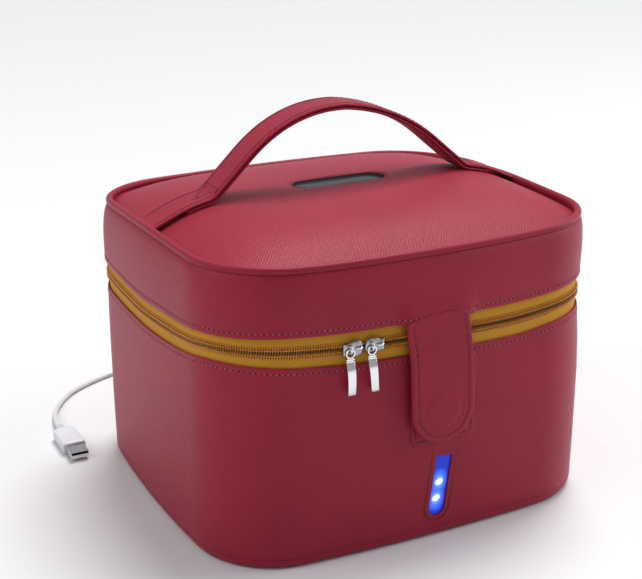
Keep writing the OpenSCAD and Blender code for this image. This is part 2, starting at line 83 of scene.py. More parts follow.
# %% Read the main sizes
cover_low, cover_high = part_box("base_cover")
band_low, band_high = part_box("lid_band")
CASE_WIDTH = cover_high[0] - cover_low[0]
CASE_DEPTH = cover_high[1] - cover_low[1]
BASE_TOP = cover_high[2]
LID_EDGE = band_low[2]
SEAM_Z = band_high[2]
CROWN_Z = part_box("lid_top_skin")[1][2]
ZIP_MID = (BASE_TOP + LID_EDGE) / 2
FRONT_Y = CASE_DEPTH / 2
CORNER_RADIUS = 52 * MM
FRONT_BOW = 1000 * MM
SIDE_BOW = 850 * MM
print(f"case {CASE_WIDTH:.3f} wide, {CASE_DEPTH:.3f} deep, lid edge at {LID_EDGE:.3f}")

# %% [markdown]
# ## Camera
# The photograph looks down on the left front corner from a little under a metre with a longish lens. The
# camera's place was found from the case's edges in the photograph. It is set here, before any piece.

# %% Camera
EYE = Vector((-374.8, -722.3, 408.7)) * MM
AIM = Vector((-11.4, 0.0, 120.5)) * MM
CAMERA_ROLL = -0.003
LENS = 75.9

forward = (AIM - EYE).normalized()
level = forward.cross(Vector((0, 0, 1))).normalized()
upward = level.cross(forward)
right = level * math.cos(CAMERA_ROLL) + upward * math.sin(CAMERA_ROLL)
up = upward * math.cos(CAMERA_ROLL) - level * math.sin(CAMERA_ROLL)
lens_data = bpy.data.cameras.new("case_camera")
lens_data.lens = LENS
lens_data.sensor_width = 36
lens_data.sensor_fit = "HORIZONTAL"
camera = bpy.data.objects.new("case_camera", lens_data)
bpy.context.scene.collection.objects.link(camera)
turn = Matrix((right, up, -forward)).transposed().to_4x4()
camera.matrix_world = Matrix.Translation(EYE) @ turn
bpy.context.scene.camera = camera
print(f"camera {(AIM - EYE).length:.2f} m from its aim")

# %% [markdown]
# ## Materials
# Every finish is a small node tree. One helper makes the tree and keeps a list of the nodes, and short
# functions add the parts that come back: a coordinate, a noise, a wave, a colour ramp and a bump.

# %% Material helpers
class Finish:
    """One material's node tree with a principled shader."""

    def __init__(self, name, colour, roughness=0.5, metallic=0.0):
        self.material = bpy.data.materials.new(name)
        self.material.use_nodes = True
        self.tree = self.material.node_tree
        self.shader = self.tree.nodes["Principled BSDF"]
        self.set("Base Color", (*colour, 1))
        self.set("Roughness", roughness)
        self.set("Metallic", metallic)

    def set(self, socket, value):
        self.shader.inputs[socket].default_value = value

    def node(self, kind, **settings):
        made = self.tree.nodes.new("ShaderNode" + kind)
        for key, value in settings.items():
            setattr(made, key, value)
        return made

    def link(self, source, target):
        self.tree.links.new(source, target)
        return target

    def coordinates(self, kind="Object", turn=0.0, stretch=(1, 1, 1)):
        place = self.node("TexCoord")
        mapping = self.node("Mapping")
        mapping.inputs["Rotation"].default_value = (0, 0, math.radians(turn))
        mapping.inputs["Scale"].default_value = stretch
        self.link(place.outputs[kind], mapping.inputs["Vector"])
        return mapping.outputs["Vector"]

    def noise(self, where, size, detail=3.0):
        made = self.node("TexNoise")
        made.inputs["Scale"].default_value = 1 / size
        made.inputs["Detail"].default_value = detail
        self.link(where, made.inputs["Vector"])
        return made.outputs["Fac"]

    def wave(self, where, pitch, distortion=0.0, kind="BANDS", direction="X"):
        made = self.node("TexWave", wave_type=kind)
        if kind == "BANDS":
            made.bands_direction = direction
        made.inputs["Scale"].default_value = 2 * math.pi / 20 / pitch
        made.inputs["Distortion"].default_value = distortion
        made.inputs["Detail"].default_value = 1.0
        made.inputs["Detail Scale"].default_value = 1.5
        self.link(where, made.inputs["Vector"])
        return made.outputs["Fac"]

    def maths(self, operation, first, second):
        made = self.node("Math", operation=operation)
        for place, value in enumerate((first, second)):
            if isinstance(value, (int, float)):
                made.inputs[place].default_value = value
            else:
                self.link(value, made.inputs[place])
        return made.outputs[0]

    def ramp(self, factor, stops):
        made = self.node("ValToRGB")
        elements = made.color_ramp.elements
        while len(elements) < len(stops):
            elements.new(0.5)
        for element, (place, colour) in zip(elements, stops):
            element.position = place
            element.color = (*colour, 1)
        self.link(factor, made.inputs["Fac"])
        return made.outputs["Color"]

    def colour(self, factor, stops):
        self.link(self.ramp(factor, stops), self.shader.inputs["Base Color"])

    def roughness(self, factor, low, high):
        spread = self.node("MapRange")
        spread.inputs["To Min"].default_value = low
        spread.inputs["To Max"].default_value = high
        self.link(factor, spread.inputs["Value"])
        self.link(spread.outputs["Result"], self.shader.inputs["Roughness"])

    def bump(self, height, depth, strength=1.0):
        made = self.node("Bump")
        made.inputs["Distance"].default_value = depth
        made.inputs["Strength"].default_value = strength
        earlier = self.shader.inputs["Normal"].links
        if earlier:
            self.link(earlier[0].from_socket, made.inputs["Normal"])
        self.link(height, made.inputs["Height"])
        self.link(made.outputs["Normal"], self.shader.inputs["Normal"])


def shade(colour, factor):
    return tuple(min(1.0, part * factor) for part in colour)


# %% [markdown]
# The leather is a coated cloth pressed with a fine cross hatch: two sets of thin slanting ridges that
# cross, broken up by noise. The piece's own UV map is in metres along the surface, so the hatch runs
# round the corners without stretching.

# %% Leather
LEATHER_RED = (0.335, 0.017, 0.040)
HATCH_PITCH = 1.5 * MM


def leather_finish(name, colour, hatch=1.0):
    finish = Finish(name, colour, 0.42)
    first = finish.wave(finish.coordinates("UV", 38), HATCH_PITCH, 1.6)
    second = finish.wave(finish.coordinates("UV", -38), HATCH_PITCH, 1.6)
    crossed = finish.maths("MAXIMUM", first, second)
    cells = finish.noise(finish.coordinates("UV", 0, (1, 1.6, 1)), 1.1 * MM, 2)
    height = finish.maths("MULTIPLY", crossed, finish.maths("ADD", cells, 0.35))
    cloudy = finish.noise(finish.coordinates("UV"), 60 * MM, 2)
    tone = finish.maths("ADD", finish.maths("MULTIPLY", height, 0.5), finish.maths("MULTIPLY", cloudy, 0.5))
    finish.colour(tone, [(0.2, shade(colour, 0.78)), (0.5, colour), (0.8, shade(colour, 1.16))])
    finish.roughness(height, 0.5, 0.36)
    finish.bump(height, 0.16 * MM * hatch, 0.9)
    finish.set("Sheen Weight", 0.03)
    finish.set("Specular IOR Level", 0.2)
    finish.set("Sheen Roughness", 0.45)
    finish.set("Sheen Tint", (1.0, 0.75, 0.8, 1))
    return finish.material


leather = leather_finish("pressed_leather", LEATHER_RED)
leather_smooth = leather_finish("folded_leather", shade(LEATHER_RED, 0.9), 0.6)
edge_paint = Finish("edge_paint", (0.52, 0.11, 0.15), 0.45)
edge_paint.bump(edge_paint.noise(edge_paint.coordinates(), 1.2 * MM), 0.1 * MM)
edge_paint = edge_paint.material
print("leather hatch every", HATCH_PITCH, "m")


# %% [markdown]
# ## The plan outline
# The case is a rounded box whose four walls bow out a little. Its outline is eight arcs that meet
# without a corner. Each station on it keeps its arc's centre, radius and angle, so a ring at any
# distance outside or inside the wall is the same arcs with a larger or smaller radius.

# %% Outline stations
def settle_corner():
    """Centre of a corner arc that touches both bowed walls."""
    front_centre = CASE_DEPTH / 2 - FRONT_BOW
    side_centre = CASE_WIDTH / 2 - SIDE_BOW
    x = CASE_WIDTH / 2 - CORNER_RADIUS
    y = 0.0
    for _ in range(20):
        y = math.sqrt((FRONT_BOW - CORNER_RADIUS) ** 2 - x * x) + front_centre
        x = math.sqrt((SIDE_BOW - CORNER_RADIUS) ** 2 - y * y) + side_centre
    front_half = math.atan2(x, y - front_centre)
    side_half = math.atan2(y, x - side_centre)
    return x, y, front_centre, side_centre, front_half, side_half


def outline_arcs():
    """Eight arcs from the middle of the rear wall, counterclockwise seen from above."""
    x, y, front, side, f, s = settle_corner()
    q = math.pi / 2
    return [
        ((0, front), FRONT_BOW, q, q + f, 14),
        ((-x, y), CORNER_RADIUS, q + f, 2 * q - s, 16),
        ((-side, 0), SIDE_BOW, 2 * q - s, 2 * q + s, 24),
        ((-x, -y), CORNER_RADIUS, 2 * q + s, 3 * q - f, 16),
        ((0, -front), FRONT_BOW, 3 * q - f, 3 * q + f, 36),
        ((x, -y), CORNER_RADIUS, 3 * q + f, 4 * q - s, 16),
        ((side, 0), SIDE_BOW, 4 * q - s, 4 * q + s, 24),
        ((x, y), CORNER_RADIUS, 4 * q + s, 5 * q - f, 16),
        ((0, front), FRONT_BOW, 5 * q - f, 5 * q, 14),
    ]


def outline_stations():
    """(centre, radius, angle, distance travelled) at each point round the case."""
    stations = []
    travelled = 0.0
    for centre, radius, start, end, count in outline_arcs():
        for step in range(count):
            part = step / count
            stations.append((centre, radius, start + (end - start) * part,
                travelled + radius * (end - start) * part))
        travelled += radius * (end - start)
    return stations, travelled


STATIONS, GIRTH = outline_stations()
print(f"{len(STATIONS)} stations round {GIRTH:.3f} m")


# A soft case isn't ruled straight: the zip band wanders. At each direction seen from the case's middle,
# in degrees with the front at -90: how far the base's edge and the lid's edge lie above their drawn
# heights, in millimetres. The front's heights were solved from the tape's edges in the photograph.
WANDER = [(-180, -4, -5.6), (-173, -3.3, -4.6), (-165, -2.1, -3.2), (-158, -0.6, -2.4), (-152, 1.5, -1.1),
          (-147, 3.4, 0.1), (-142, 3.8, 0.6), (-137, 3.4, 0.8), (-131, 2.4, 1), (-126, 1.3, 0.7),
              (-122, 0.4, 0),
          (-116, -0.9, -0.7), (-111, -1.5, -0.9), (-105, -1.9, -1), (-99, -2.2, -1), (-90, -2.6, -1.2),
              (-79, -3, -1.5),
          (-73, -3.4, -1.7), (-67, -3.7, -1.8), (-62, -3.6, -1.6), (-57, -2.4, -1.1), (-52, -1.1, -0.2),
          (-44, -0.4, 0.3), (-22, -2, -1.6), (0, -3, -3), (90, -4, -4), (180, -4, -5.6)]


def ease(t):
    t = min(1.0, max(0.0, t))
    return t * t * (3 - 2 * t)


def blend_between(a, b, t):
    return a + (b - a) * t


def slope_between(before, after, column):
    return (after[column] - before[column]) / ((after[0] - before[0]) % 360)


def wander(x, y, z):
    """How far a soft edge lies above its drawn height, on a smooth curve through the table."""
    angle = math.degrees(math.atan2(y, x))
    k = min(bisect.bisect_right(WANDER, (angle,)), len(WANDER) - 1)
    a, b = WANDER[k - 1], WANDER[k]
    before, after = WANDER[k - 2 if k > 1 else -2], WANDER[k + 1 if k + 1 < len(WANDER) else 1]
    wide = b[0] - a[0]
    t = (angle - a[0]) / wide
    base, lid = (((2 * t**3 - 3 * t**2 + 1) * a[n] + (3 * t**2 - 2 * t**3) * b[n]
                  + (t**3 - 2 * t**2 + t) * wide * slope_between(before, b, n)
                  + (t**3 - t**2) * wide * slope_between(a, after, n)) * MM for n in (1, 2))
    if z <= BASE_TOP:
        return base * ease((z - BASE_TOP + 60 * MM) / (60 * MM))
    if z < LID_EDGE:
        return blend_between(base, lid, (z - BASE_TOP) / (LID_EDGE - BASE_TOP))
    return lid * max(0.0, 1 - (z - LID_EDGE) / (SEAM_Z - LID_EDGE))


REAR_SETTLE = 6.0 * MM


def settle_down(y):
    """The padded lid has settled: its top lies lower towards the rear."""
    return REAR_SETTLE * ease((y + 15 * MM) / (130 * MM))


def wall_point(station, outset, z):
    """A point of the wall, standing out from it by outset, with the soft lid's and edges' own shape."""
    (x, y), radius, angle, _ = station
    up = min(1.0, max(0.0, (z - LID_EDGE) / (SEAM_Z - LID_EDGE)))
    rear = ease((y + radius * math.sin(angle) + 100 * MM) / (80 * MM))
    right = ease((x + radius * math.cos(angle)) / (120 * MM)) * (1.0 - 2.4 * ease((z - 80 * MM) / (60 * MM)))
    reach = radius + outset - (0.7 + 1.6 * rear) * MM * up * up + right * MM
    px, py = x + reach * math.cos(angle), y + reach * math.sin(angle)
    front = 1.3 * MM * ease((-py - 85 * MM) / (25 * MM)) * ease(2 - abs(px) / (55 * MM))
    return Vector((px, py, z + wander(px, py, z) - (settle_down(py) + front) * up))


def fall(x):
    """How far the front wall falls back at a place x along it."""
    return FRONT_BOW - math.sqrt(FRONT_BOW * FRONT_BOW - x * x)


def front_point(x, z, outset):
    """A point on the front wall, straight out from it."""
    return Vector((x, -FRONT_Y + fall(x) - outset, z))


CROWN_FALL = 16 * MM
CROWN_SHOULDER = 24 * MM
CROWN_BLEND = 20 * MM


def crown_height(x, y):
    """Height of the padded crown: flat in the middle, falling in its last centimetres to the piping."""
    from_side = CASE_WIDTH / 2 - 3.6 * MM - abs(x)
    from_front = CASE_DEPTH / 2 - 3.6 * MM - abs(y)
    edge = -CROWN_BLEND * math.log(math.exp(-from_side / CROWN_BLEND) + math.exp(-from_front / CROWN_BLEND))
    return CROWN_Z - settle_down(y) - CROWN_FALL * math.exp(-((max(edge, 0.0) / CROWN_SHOULDER) ** 1.35))


# %% [markdown]
# ## Power lead
# The lead leaves the plug at the rear, runs down to the table, is wound up behind the case where the
# case hides it, and comes round to its plug at the left. It is one curve: the route's points are
# the frame's own, and a smooth spline is drawn through them. The coil's turns lie side by side in
# three rows, three at the bottom, two in the hollows between them and a last short one on top.

# %% Lead route
LEAD_DIAMETER = 3.5 * MM
SOCKET_X = 40 * MM
COIL_X = SOCKET_X - 20 * MM
plug_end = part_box("lead_plug")[1][1]
COIL_Y = sum(corner[1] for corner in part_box("lead_coil")) / 2
COIL_RADIUS = 20 * MM
TURNS_EACH = 48
# Offsets from the coil's middle radius and heights of the places that the turns take in turn.
TURN_PLACES = [(3.5, 1.8), (0, 1.8), (-3.5, 1.8), (-1.75, 4.85), (1.75, 4.85), (0, 7.9)]


def smooth_through(points, steps):
    """A spline through the points, with each stretch cut into steps."""
    line = [points[0] * 2 - points[1], *points, points[-1] * 2 - points[-2]]
    drawn = []
    for a, b, c, d in zip(line, line[1:], line[2:], line[3:]):
        for step in range(steps):
            t = step / steps
            drawn.append(0.5 * (2 * b + (c - a) * t + (2 * a - 5 * b + 4 * c - d) * t**2 + (3 * b - a - 3 * c + d) * t**3))
    return drawn + [points[-1]]


def coil_point(turn):
    """A point of the coil after so many turns: it changes place in the last part of each turn."""
    lap = min(int(turn), len(TURN_PLACES) - 2)
    across, height = TURN_PLACES[lap]
    next_across, next_height = TURN_PLACES[lap + 1]
    change = ease((turn - lap - 0.75) / 0.25)
    radius = COIL_RADIUS + (across + (next_across - across) * change) * MM
    angle = 2 * math.pi * turn
    z = (height + (next_height - height) * change) * MM
    return Vector((COIL_X + radius * math.cos(angle), COIL_Y + radius * math.sin(angle), z))


COIL_TURNS = 5.25
near = [Vector(p) * MM for p in ((40, 0, 26), (40, 9, 25.5), (40.5, 20, 21), (41.5, 29, 12.5), (42.8, 38, 5.4),
    (43.4, 46, 2.4))]
near = [Vector((p.x, plug_end + p.y, p.z)) for p in near]
far_end = [Vector(p) * MM for p in (
    (9, 216.2, 7.4), (0, 216.2, 5.6), (-9, 215.4, 3.2), (-20, 214, 1.9), (-40, 211, 1.8), (-60, 207.5, 1.8),
    (-80, 203, 1.8), (-98, 197, 1.8), (-114, 189, 1.8), (-128, 179.5, 1.8), (-138, 168, 1.8),
        (-145.5, 156, 2.2),
    (-150, 145, 2.7), (-152.6, 134, 3.6), (-153.8, 127, 4.1), (-154, 121.5, 4.2))]
coil = [coil_point(COIL_TURNS * step / (TURNS_EACH * COIL_TURNS)) for step in range(int(TURNS_EACH * COIL_TURNS) + 1)]
lead_line = smooth_through(near + coil[1::4] + far_end, 4)

# %% Lead curve
cord_data = bpy.data.curves.new("power_lead", "CURVE")
cord_data.dimensions = "3D"
cord_data.bevel_depth = LEAD_DIAMETER / 2
cord_data.bevel_resolution = 3
cord_data.use_fill_caps = True
run = cord_data.splines.new("POLY")
run.points.add(len(lead_line) - 1)
for point, place in zip(run.points, lead_line):
    point.co = (*place, 1)
run.use_smooth = True
power_lead = bpy.data.objects.new("power_lead", cord_data)
bpy.context.scene.collection.objects.link(power_lead)

jacket = Finish("lead_jacket", (0.78, 0.78, 0.8), 0.32)
jacket.bump(jacket.noise(jacket.coordinates(), 3 * MM, 2), 0.05 * MM)
jacket.colour(jacket.noise(jacket.coordinates(), 30 * MM), [(0.3, (0.72, 0.72, 0.74)), (0.7, (0.8, 0.8, 0.82))])
jacket.set("Coat Weight", 0.25)
cord_data.materials.append(jacket.material)
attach(power_lead, "base")
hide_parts("lead_near", "lead_coil", "lead_far")


# %% [markdown]
# ## Mesh helpers
# Most of the case is made of rings: a short profile of distances and heights is carried round the
# outline, and the rings are joined with faces. The same helper closes the rings, writes the UV map in
# metres, turns the faces outwards and marks sharp edges.

# %% Piece helpers
def add_piece(name, mesh, *materials):
    piece = bpy.data.objects.new(name, mesh)
    bpy.context.scene.collection.objects.link(piece)
    for material in materials:
        mesh.materials.append(material)
    return piece


def finish_mesh(name, bm, sharp=40, recalc=True):
    """Merges doubles, turns the faces outwards, smooths them and keeps edges past an angle sharp."""
    bmesh.ops.remove_doubles(bm, verts=bm.verts, dist=0.00001)
    if recalc:
        bmesh.ops.recalc_face_normals(bm, faces=bm.faces)
    for face in bm.faces:
        face.smooth = True
    for edge in bm.edges:
        if len(edge.link_faces) == 2 and edge.calc_face_angle(0) > math.radians(sharp):
            edge.smooth = False
    mesh = bpy.data.meshes.new(name)
    bm.to_mesh(mesh)
    bm.free()
    return mesh


def grid_mesh(bm, rows, uvs, closed_rows=False, closed_columns=False, material=0):
    """Faces between rows of points. uvs are the same shape; a closed row repeats its first point's place."""
    uv_layer = bm.loops.layers.uv.verify()
    verts = [[bm.verts.new(p) for p in row] for row in rows]
    high, wide = len(rows), len(rows[0])
    for i in range(high if closed_rows else high - 1):
        for j in range(wide if closed_columns else wide - 1):
            corners = [(i, j), (i, j + 1), (i + 1, j + 1), (i + 1, j)]
            loop = [verts[a % high][b % wide] for a, b in corners]
            if len(set(loop)) < 3:
                continue
            face = bm.faces.new(loop)
            face.material_index = material
            for corner, (a, b) in zip(face.loops, corners):
                corner[uv_layer].uv = uvs(a % high if not closed_rows or a < high else high, b)
    return verts


def band_piece(name, profile, *materials, bulge=None, closed=True):
    """A closed band round the case. profile is a list of (outset, height) in millimetres."""
    bm = bmesh.new()
    ring_of = []
    for outset, height in profile:
        ring = []
        for station in STATIONS:
            extra = bulge(station, height * MM) if bulge else 0.0
            ring.append(wall_point(station, outset * MM + extra, height * MM))
        ring_of.append(ring)
    lengths = [0.0]
    for (a, b), (c, d) in zip(profile, profile[1:] + profile[:1]):
        lengths.append(lengths[-1] + math.hypot(c - a, d - b) * MM)

    def uv(row, column):
        travelled = STATIONS[column][3] if column < len(STATIONS) else GIRTH
        return travelled, lengths[row]

    grid_mesh(bm, ring_of, uv, closed_rows=closed, closed_columns=True)
    return add_piece(name, finish_mesh(name, bm), *materials)


def layer_over(piece, levels=1):
    """Applies a subdivision to a finished mesh, so that its curves read as smooth."""
    modifier = piece.modifiers.new("rounder", "SUBSURF")
    modifier.levels = modifier.render_levels = levels
    return apply_modifiers(piece)


def apply_modifiers(piece):
    bpy.context.view_layer.update()
    graph = bpy.context.evaluated_depsgraph_get()
    mesh = bpy.data.meshes.new_from_object(piece.evaluated_get(graph))
    mesh.name = piece.name
    piece.modifiers.clear()
    piece.data = mesh
    return piece


# %% [markdown]
# ## Leather walls
# The base is one leather tub: a wall with a turned edge at its top, a rounded foot, and a thin seam
# line just above it. The profile runs down the outside, round the foot, under the floor and back up
# the inside, so it is a closed skin with a real thickness.

# %% Base wall
base_mm = BASE_TOP / MM
TUB = [(-1.3, base_mm - 1.4), (-1.1, base_mm - 0.4), (-0.6, base_mm), (0, base_mm - 0.5), (0.1, base_mm - 1.6),
       (0.1, base_mm - 3.2), (0.15, base_mm - 8), (0.35, 100), (0.45, 80), (0.45, 60), (0.4, 40), (0.25, 22),
           (0.1, 12),
       (0.1, 7.2), (-0.05, 6.7), (-0.35, 6.5), (-0.05, 6.3), (0.05, 5.8), (-0.2, 4.2), (-0.9, 2.3), (-2.2, 0.8),
       (-4, 0.1), (-6, 0)]
TUB_INSIDE = [(-6, 1.2), (-3.6, 1.5), (-1.9, 3.2), (-1.3, 6), (-1.3, 40), (-1.3, 80), (-1.3, 110)]


def floor_rings(start, height, count=7):
    """Rings that shrink to the middle, to close a floor or a top."""
    return [[Vector((p.x * (1 - k / count), p.y * (1 - k / count), height)) for p in start] for k in range(1,
        count + 1)]


def tub_mesh():
    bm = bmesh.new()
    outer = [[wall_point(s, o * MM, z * MM) for s in STATIONS] for o, z in TUB]
    under = floor_rings(outer[-1], 0.0)
    inner_start = [wall_point(s, TUB_INSIDE[0][0] * MM, TUB_INSIDE[0][1] * MM) for s in STATIONS]
    above = floor_rings(inner_start, TUB_INSIDE[0][1] * MM)[::-1]
    inner = [[wall_point(s, o * MM, z * MM) for s in STATIONS] for o, z in TUB_INSIDE]
    rows = outer + under + above + inner
    wall_rows = len(outer)

    def uv(row, column):
        p = rows[row % len(rows)][column % len(STATIONS)]
        if wall_rows <= row < wall_rows + len(under) + len(above):
            return p.x, p.y
        travelled = STATIONS[column][3] if column < len(STATIONS) else GIRTH
        return travelled, p.z

    grid_mesh(bm, rows, uv, closed_rows=True, closed_columns=True)
    return finish_mesh("base_wall", bm)


base_wall = add_piece("base_wall", tub_mesh(), leather)
print("base wall faces:", len(base_wall.data.polygons))

# %% [markdown]
# The front wall has a slim window for the blue light. Its outline is drawn in the wall's plane: a flat
# top, straight sides and a round foot, leaning a little. A prism of that outline is taken out of the
# wall with a Boolean modifier, which is then applied.

# %% Light window outline
WINDOW_FOOT = Vector((4.6 * MM, 0, 19.5 * MM))
WINDOW_RADIUS = 5.3 * MM
WINDOW_LEAN = math.radians(7.5)
WINDOW_TALL = 52.3 * MM


def light_outline(grow=0.0, steps=12):
    """Points of the light window, clockwise from its upper left corner, as (x, z)."""
    radius = WINDOW_RADIUS + grow
    tall = (WINDOW_TALL - WINDOW_FOOT.z) / math.cos(WINDOW_LEAN) + grow
    local = [(-radius, tall), (radius, tall)]
    local += [(radius * math.cos(a), radius * math.sin(a)) for a in (-math.pi * k / steps for k in range(steps + 1))]
    sin, cos = math.sin(WINDOW_LEAN), math.cos(WINDOW_LEAN)
    return [(WINDOW_FOOT.x + u * cos + v * sin, WINDOW_FOOT.z - u * sin + v * cos) for u, v in local]


def prism(name, outline, low_y, high_y):
    bm = bmesh.new()
    front = [bm.verts.new((x, low_y, z)) for x, z in outline]
    back = [bm.verts.new((x, high_y, z)) for x, z in outline]
    bm.faces.new(front)
    bm.faces.new(back[::-1])
    for a in range(len(outline)):
        b = (a + 1) % len(outline)
        bm.faces.new((front[a], front[b], back[b], back[a]))
    return add_piece(name, finish_mesh(name, bm))


def cut_with(piece, cutter):
    modifier = piece.modifiers.new("cut", "BOOLEAN")
    modifier.operation = "DIFFERENCE"
    modifier.solver = "EXACT"
    modifier.object = cutter
    apply_modifiers(piece)
    bpy.data.objects.remove(cutter)
    bm = bmesh.new()
    bm.from_mesh(piece.data)
    for edge in bm.edges:
        if len(edge.link_faces) == 2 and edge.calc_face_angle(0) > math.radians(40):
            edge.smooth = False
    bm.to_mesh(piece.data)
    bm.free()


cut_with(base_wall, prism("light_cutter", light_outline(0.1 * MM), -FRONT_Y - 5 * MM, -FRONT_Y + 5 * MM))
port = [(SOCKET_X + sx * 4.4 * MM + 2 * MM * math.cos(a), 26 * MM + sz * 2 * MM + 2 * MM * math.sin(a))
        for sx, sz, start in ((1, 1, 0), (-1, 1, 90), (-1, -1, 180), (1, -1, 270))
        for a in (math.radians(start + 22.5 * k) for k in range(5))]
cut_with(base_wall, prism("port_cutter", port, FRONT_Y - 9 * MM, FRONT_Y + 5 * MM))
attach(base_wall, "base")
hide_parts("base_cover")

# %% [markdown]
# The lid's side band is a second loop. Its lower edge is folded into a welt, and it swells where the
# closure tab comes out from under it. Above the middle it bellies out and tucks in under the piping.

# %% Lid band
lid_mm = LID_EDGE / MM
seam_mm = SEAM_Z / MM
TAB_X = 0.9 * MM
TAB_HALF = 20.5 * MM
LID_BAND = [(-1.4, lid_mm + 1.2), (-0.9, lid_mm + 0.3), (0, lid_mm - 0.05), (0.8, lid_mm + 0.3),
    (1.15, lid_mm + 1.3), (1.2, lid_mm + 2.4),
            (0.95, lid_mm + 3.2), (1.05, lid_mm + 4.2), (1.2, lid_mm + 8), (1.5, lid_mm + 15),
                (1.7, lid_mm + 22),
            (1.6, lid_mm + 28), (1.2, lid_mm + 32.5), (0.5, lid_mm + 35.4), (-0.5, lid_mm + 37),
                (-2.2, lid_mm + 38),
            (-2.6, lid_mm + 36), (-1.0, lid_mm + 33), (-0.6, lid_mm + 20), (-0.7, lid_mm + 12.5),
                (-1.35, lid_mm + 11.6)]


def over_tab(station, z):
    """The band stands out over the tab's upper edge."""
    place = wall_point(station, 0, 0)
    if place.y > 0:
        return 0.0
    across = ease((TAB_HALF + 5 * MM - abs(place.x - TAB_X)) / (5 * MM))
    height = 1 - ease((z - LID_EDGE - 2 * MM) / (11 * MM))
    return 3.7 * MM * across * height


lid_band = band_piece("lid_side_band", LID_BAND, leather, bulge=over_tab)
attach(lid_band, "lid")
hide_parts("lid_band", "lid_stiffener")

# %% [markdown]
# Piping is a cord wrapped in leather and sewn into the seam between side band and crown. It is a plain
# round roll with a narrow flange going into the seam.

# %% Piping
PIPE_RADIUS = 2.3
pipe_z = seam_mm + 2.2
PIPING = [(-1.7 + PIPE_RADIUS * math.cos(math.radians(a)), pipe_z + PIPE_RADIUS * math.sin(math.radians(a)))
          for a in range(-80, 231, 22)] + [(-4.4, seam_mm + 0.4), (-2.6, seam_mm + 0.1)]
lid_piping = band_piece("lid_piping_roll", PIPING, leather_smooth)
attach(lid_piping, "lid")
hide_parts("lid_piping")

# %% [markdown]
# The crown is a padded panel. It is flat in the middle and falls away in its last few centimetres to
# the seam beside the piping, as foam under leather does. The long window is left open in its middle:
# each ring changes step by step from the case's outline to the window's stadium outline.

# %% Crown
window_low, window_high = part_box("control_window")
WINDOW_HALF = (window_high[0] - window_low[0]) / 2 - 1.8 * MM
WINDOW_END = (window_high[1] - window_low[1]) / 2 + 1.2 * MM
WINDOW_MIDDLE = Vector((1.8 * MM, 1.2 * MM, 0))
CROWN_IN = 2.6 * MM


def stadium_point(angle, half, end):
    """The point of a stadium in the direction of an angle from its middle."""
    x, y = math.cos(angle), math.sin(angle)
    straight = half - end
    if abs(y) > 1e-9 and abs(x / y * end) <= straight:
        return WINDOW_MIDDLE + Vector((x / abs(y) * end, math.copysign(end, y), 0))
    b = straight * abs(x)
    reach = b + math.sqrt(b * b - straight * straight + end * end)
    return WINDOW_MIDDLE + Vector((reach * x, reach * y, 0))


def crown_mesh():
    bm = bmesh.new()
    outer = [wall_point(s, -CROWN_IN, 0) for s in STATIONS]
    inner = [stadium_point(math.atan2(p.y, p.x), WINDOW_HALF + 0.6 * MM, WINDOW_END + 0.6 * MM) for p in outer]
    parts = [0, 0.01, 0.025, 0.045, 0.07, 0.1, 0.14, 0.19, 0.25, 0.32, 0.4, 0.5, 0.6, 0.7, 0.79, 0.87, 0.93,
        0.965, 0.985, 1.0]
    rows = []
    for part in parts:
        row = []
        for a, b in zip(outer, inner):
            p = a.lerp(b, part)
            near_window = (p - b).length
            p.z = crown_height(p.x, p.y) - 0.7 * MM * math.exp(-near_window / (3 * MM))
            row.append(p)
        rows.append(row)
    for spread, drop in ((0.997, 0.7), (0.993, 1.8), (0.993, 3.4)):
        rows.append([Vector((b.x * spread, b.y * spread, crown_height(b.x, b.y) - drop * MM)) for b in inner])
    under = [[Vector((p.x, p.y, p.z - 1.8 * MM)) for p in row] for row in (rows[15], rows[10], rows[5],
        rows[1])]
    rows += under
    rows.append([Vector((p.x, p.y, crown_height(p.x, p.y) - 1.6 * MM)) for p in outer])

    def uv(row, column):
        p = rows[row % len(rows)][column % len(STATIONS)]
        return p.x, p.y

    grid_mesh(bm, rows, uv, closed_rows=True, closed_columns=True)
    bm.faces.ensure_lookup_table()
    cut_from = len(parts) * len(STATIONS)
    for face in bm.faces[cut_from - len(STATIONS):cut_from + 2 * len(STATIONS)]:
        face.material_index = 1
    return finish_mesh("lid_crown", bm, 60)


cut_edge = Finish("cut_edge", (0.10, 0.045, 0.04), 0.85)
cut_edge.bump(cut_edge.noise(cut_edge.coordinates(), 0.6 * MM), 0.25 * MM)
lid_crown = add_piece("lid_crown", crown_mesh(), leather, cut_edge.material)
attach(lid_crown, "lid")
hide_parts("lid_top_skin", "lid_foam")

# %% [markdown]
# ## Handle
# The handle is one long strap of two layers. It lies on the crown at both ends, tucked under the
# piping, bends up and springs in an arch over the lid. The same centre line makes both layers: the
# upper one runs from piping to piping and the lower one is shorter, so its ends show.

# %% Handle path
HANDLE_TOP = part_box("handle_outer")[1][2]
ARCH_RADIUS = 93 * MM
STRAP_HALF = (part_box("handle_outer")[1][1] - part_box("handle_outer")[0][1]) / 2
arch_z = HANDLE_TOP - ARCH_RADIUS
STRAP_THICK = 4.2 * MM
LEG_SLOPE = math.radians(43)


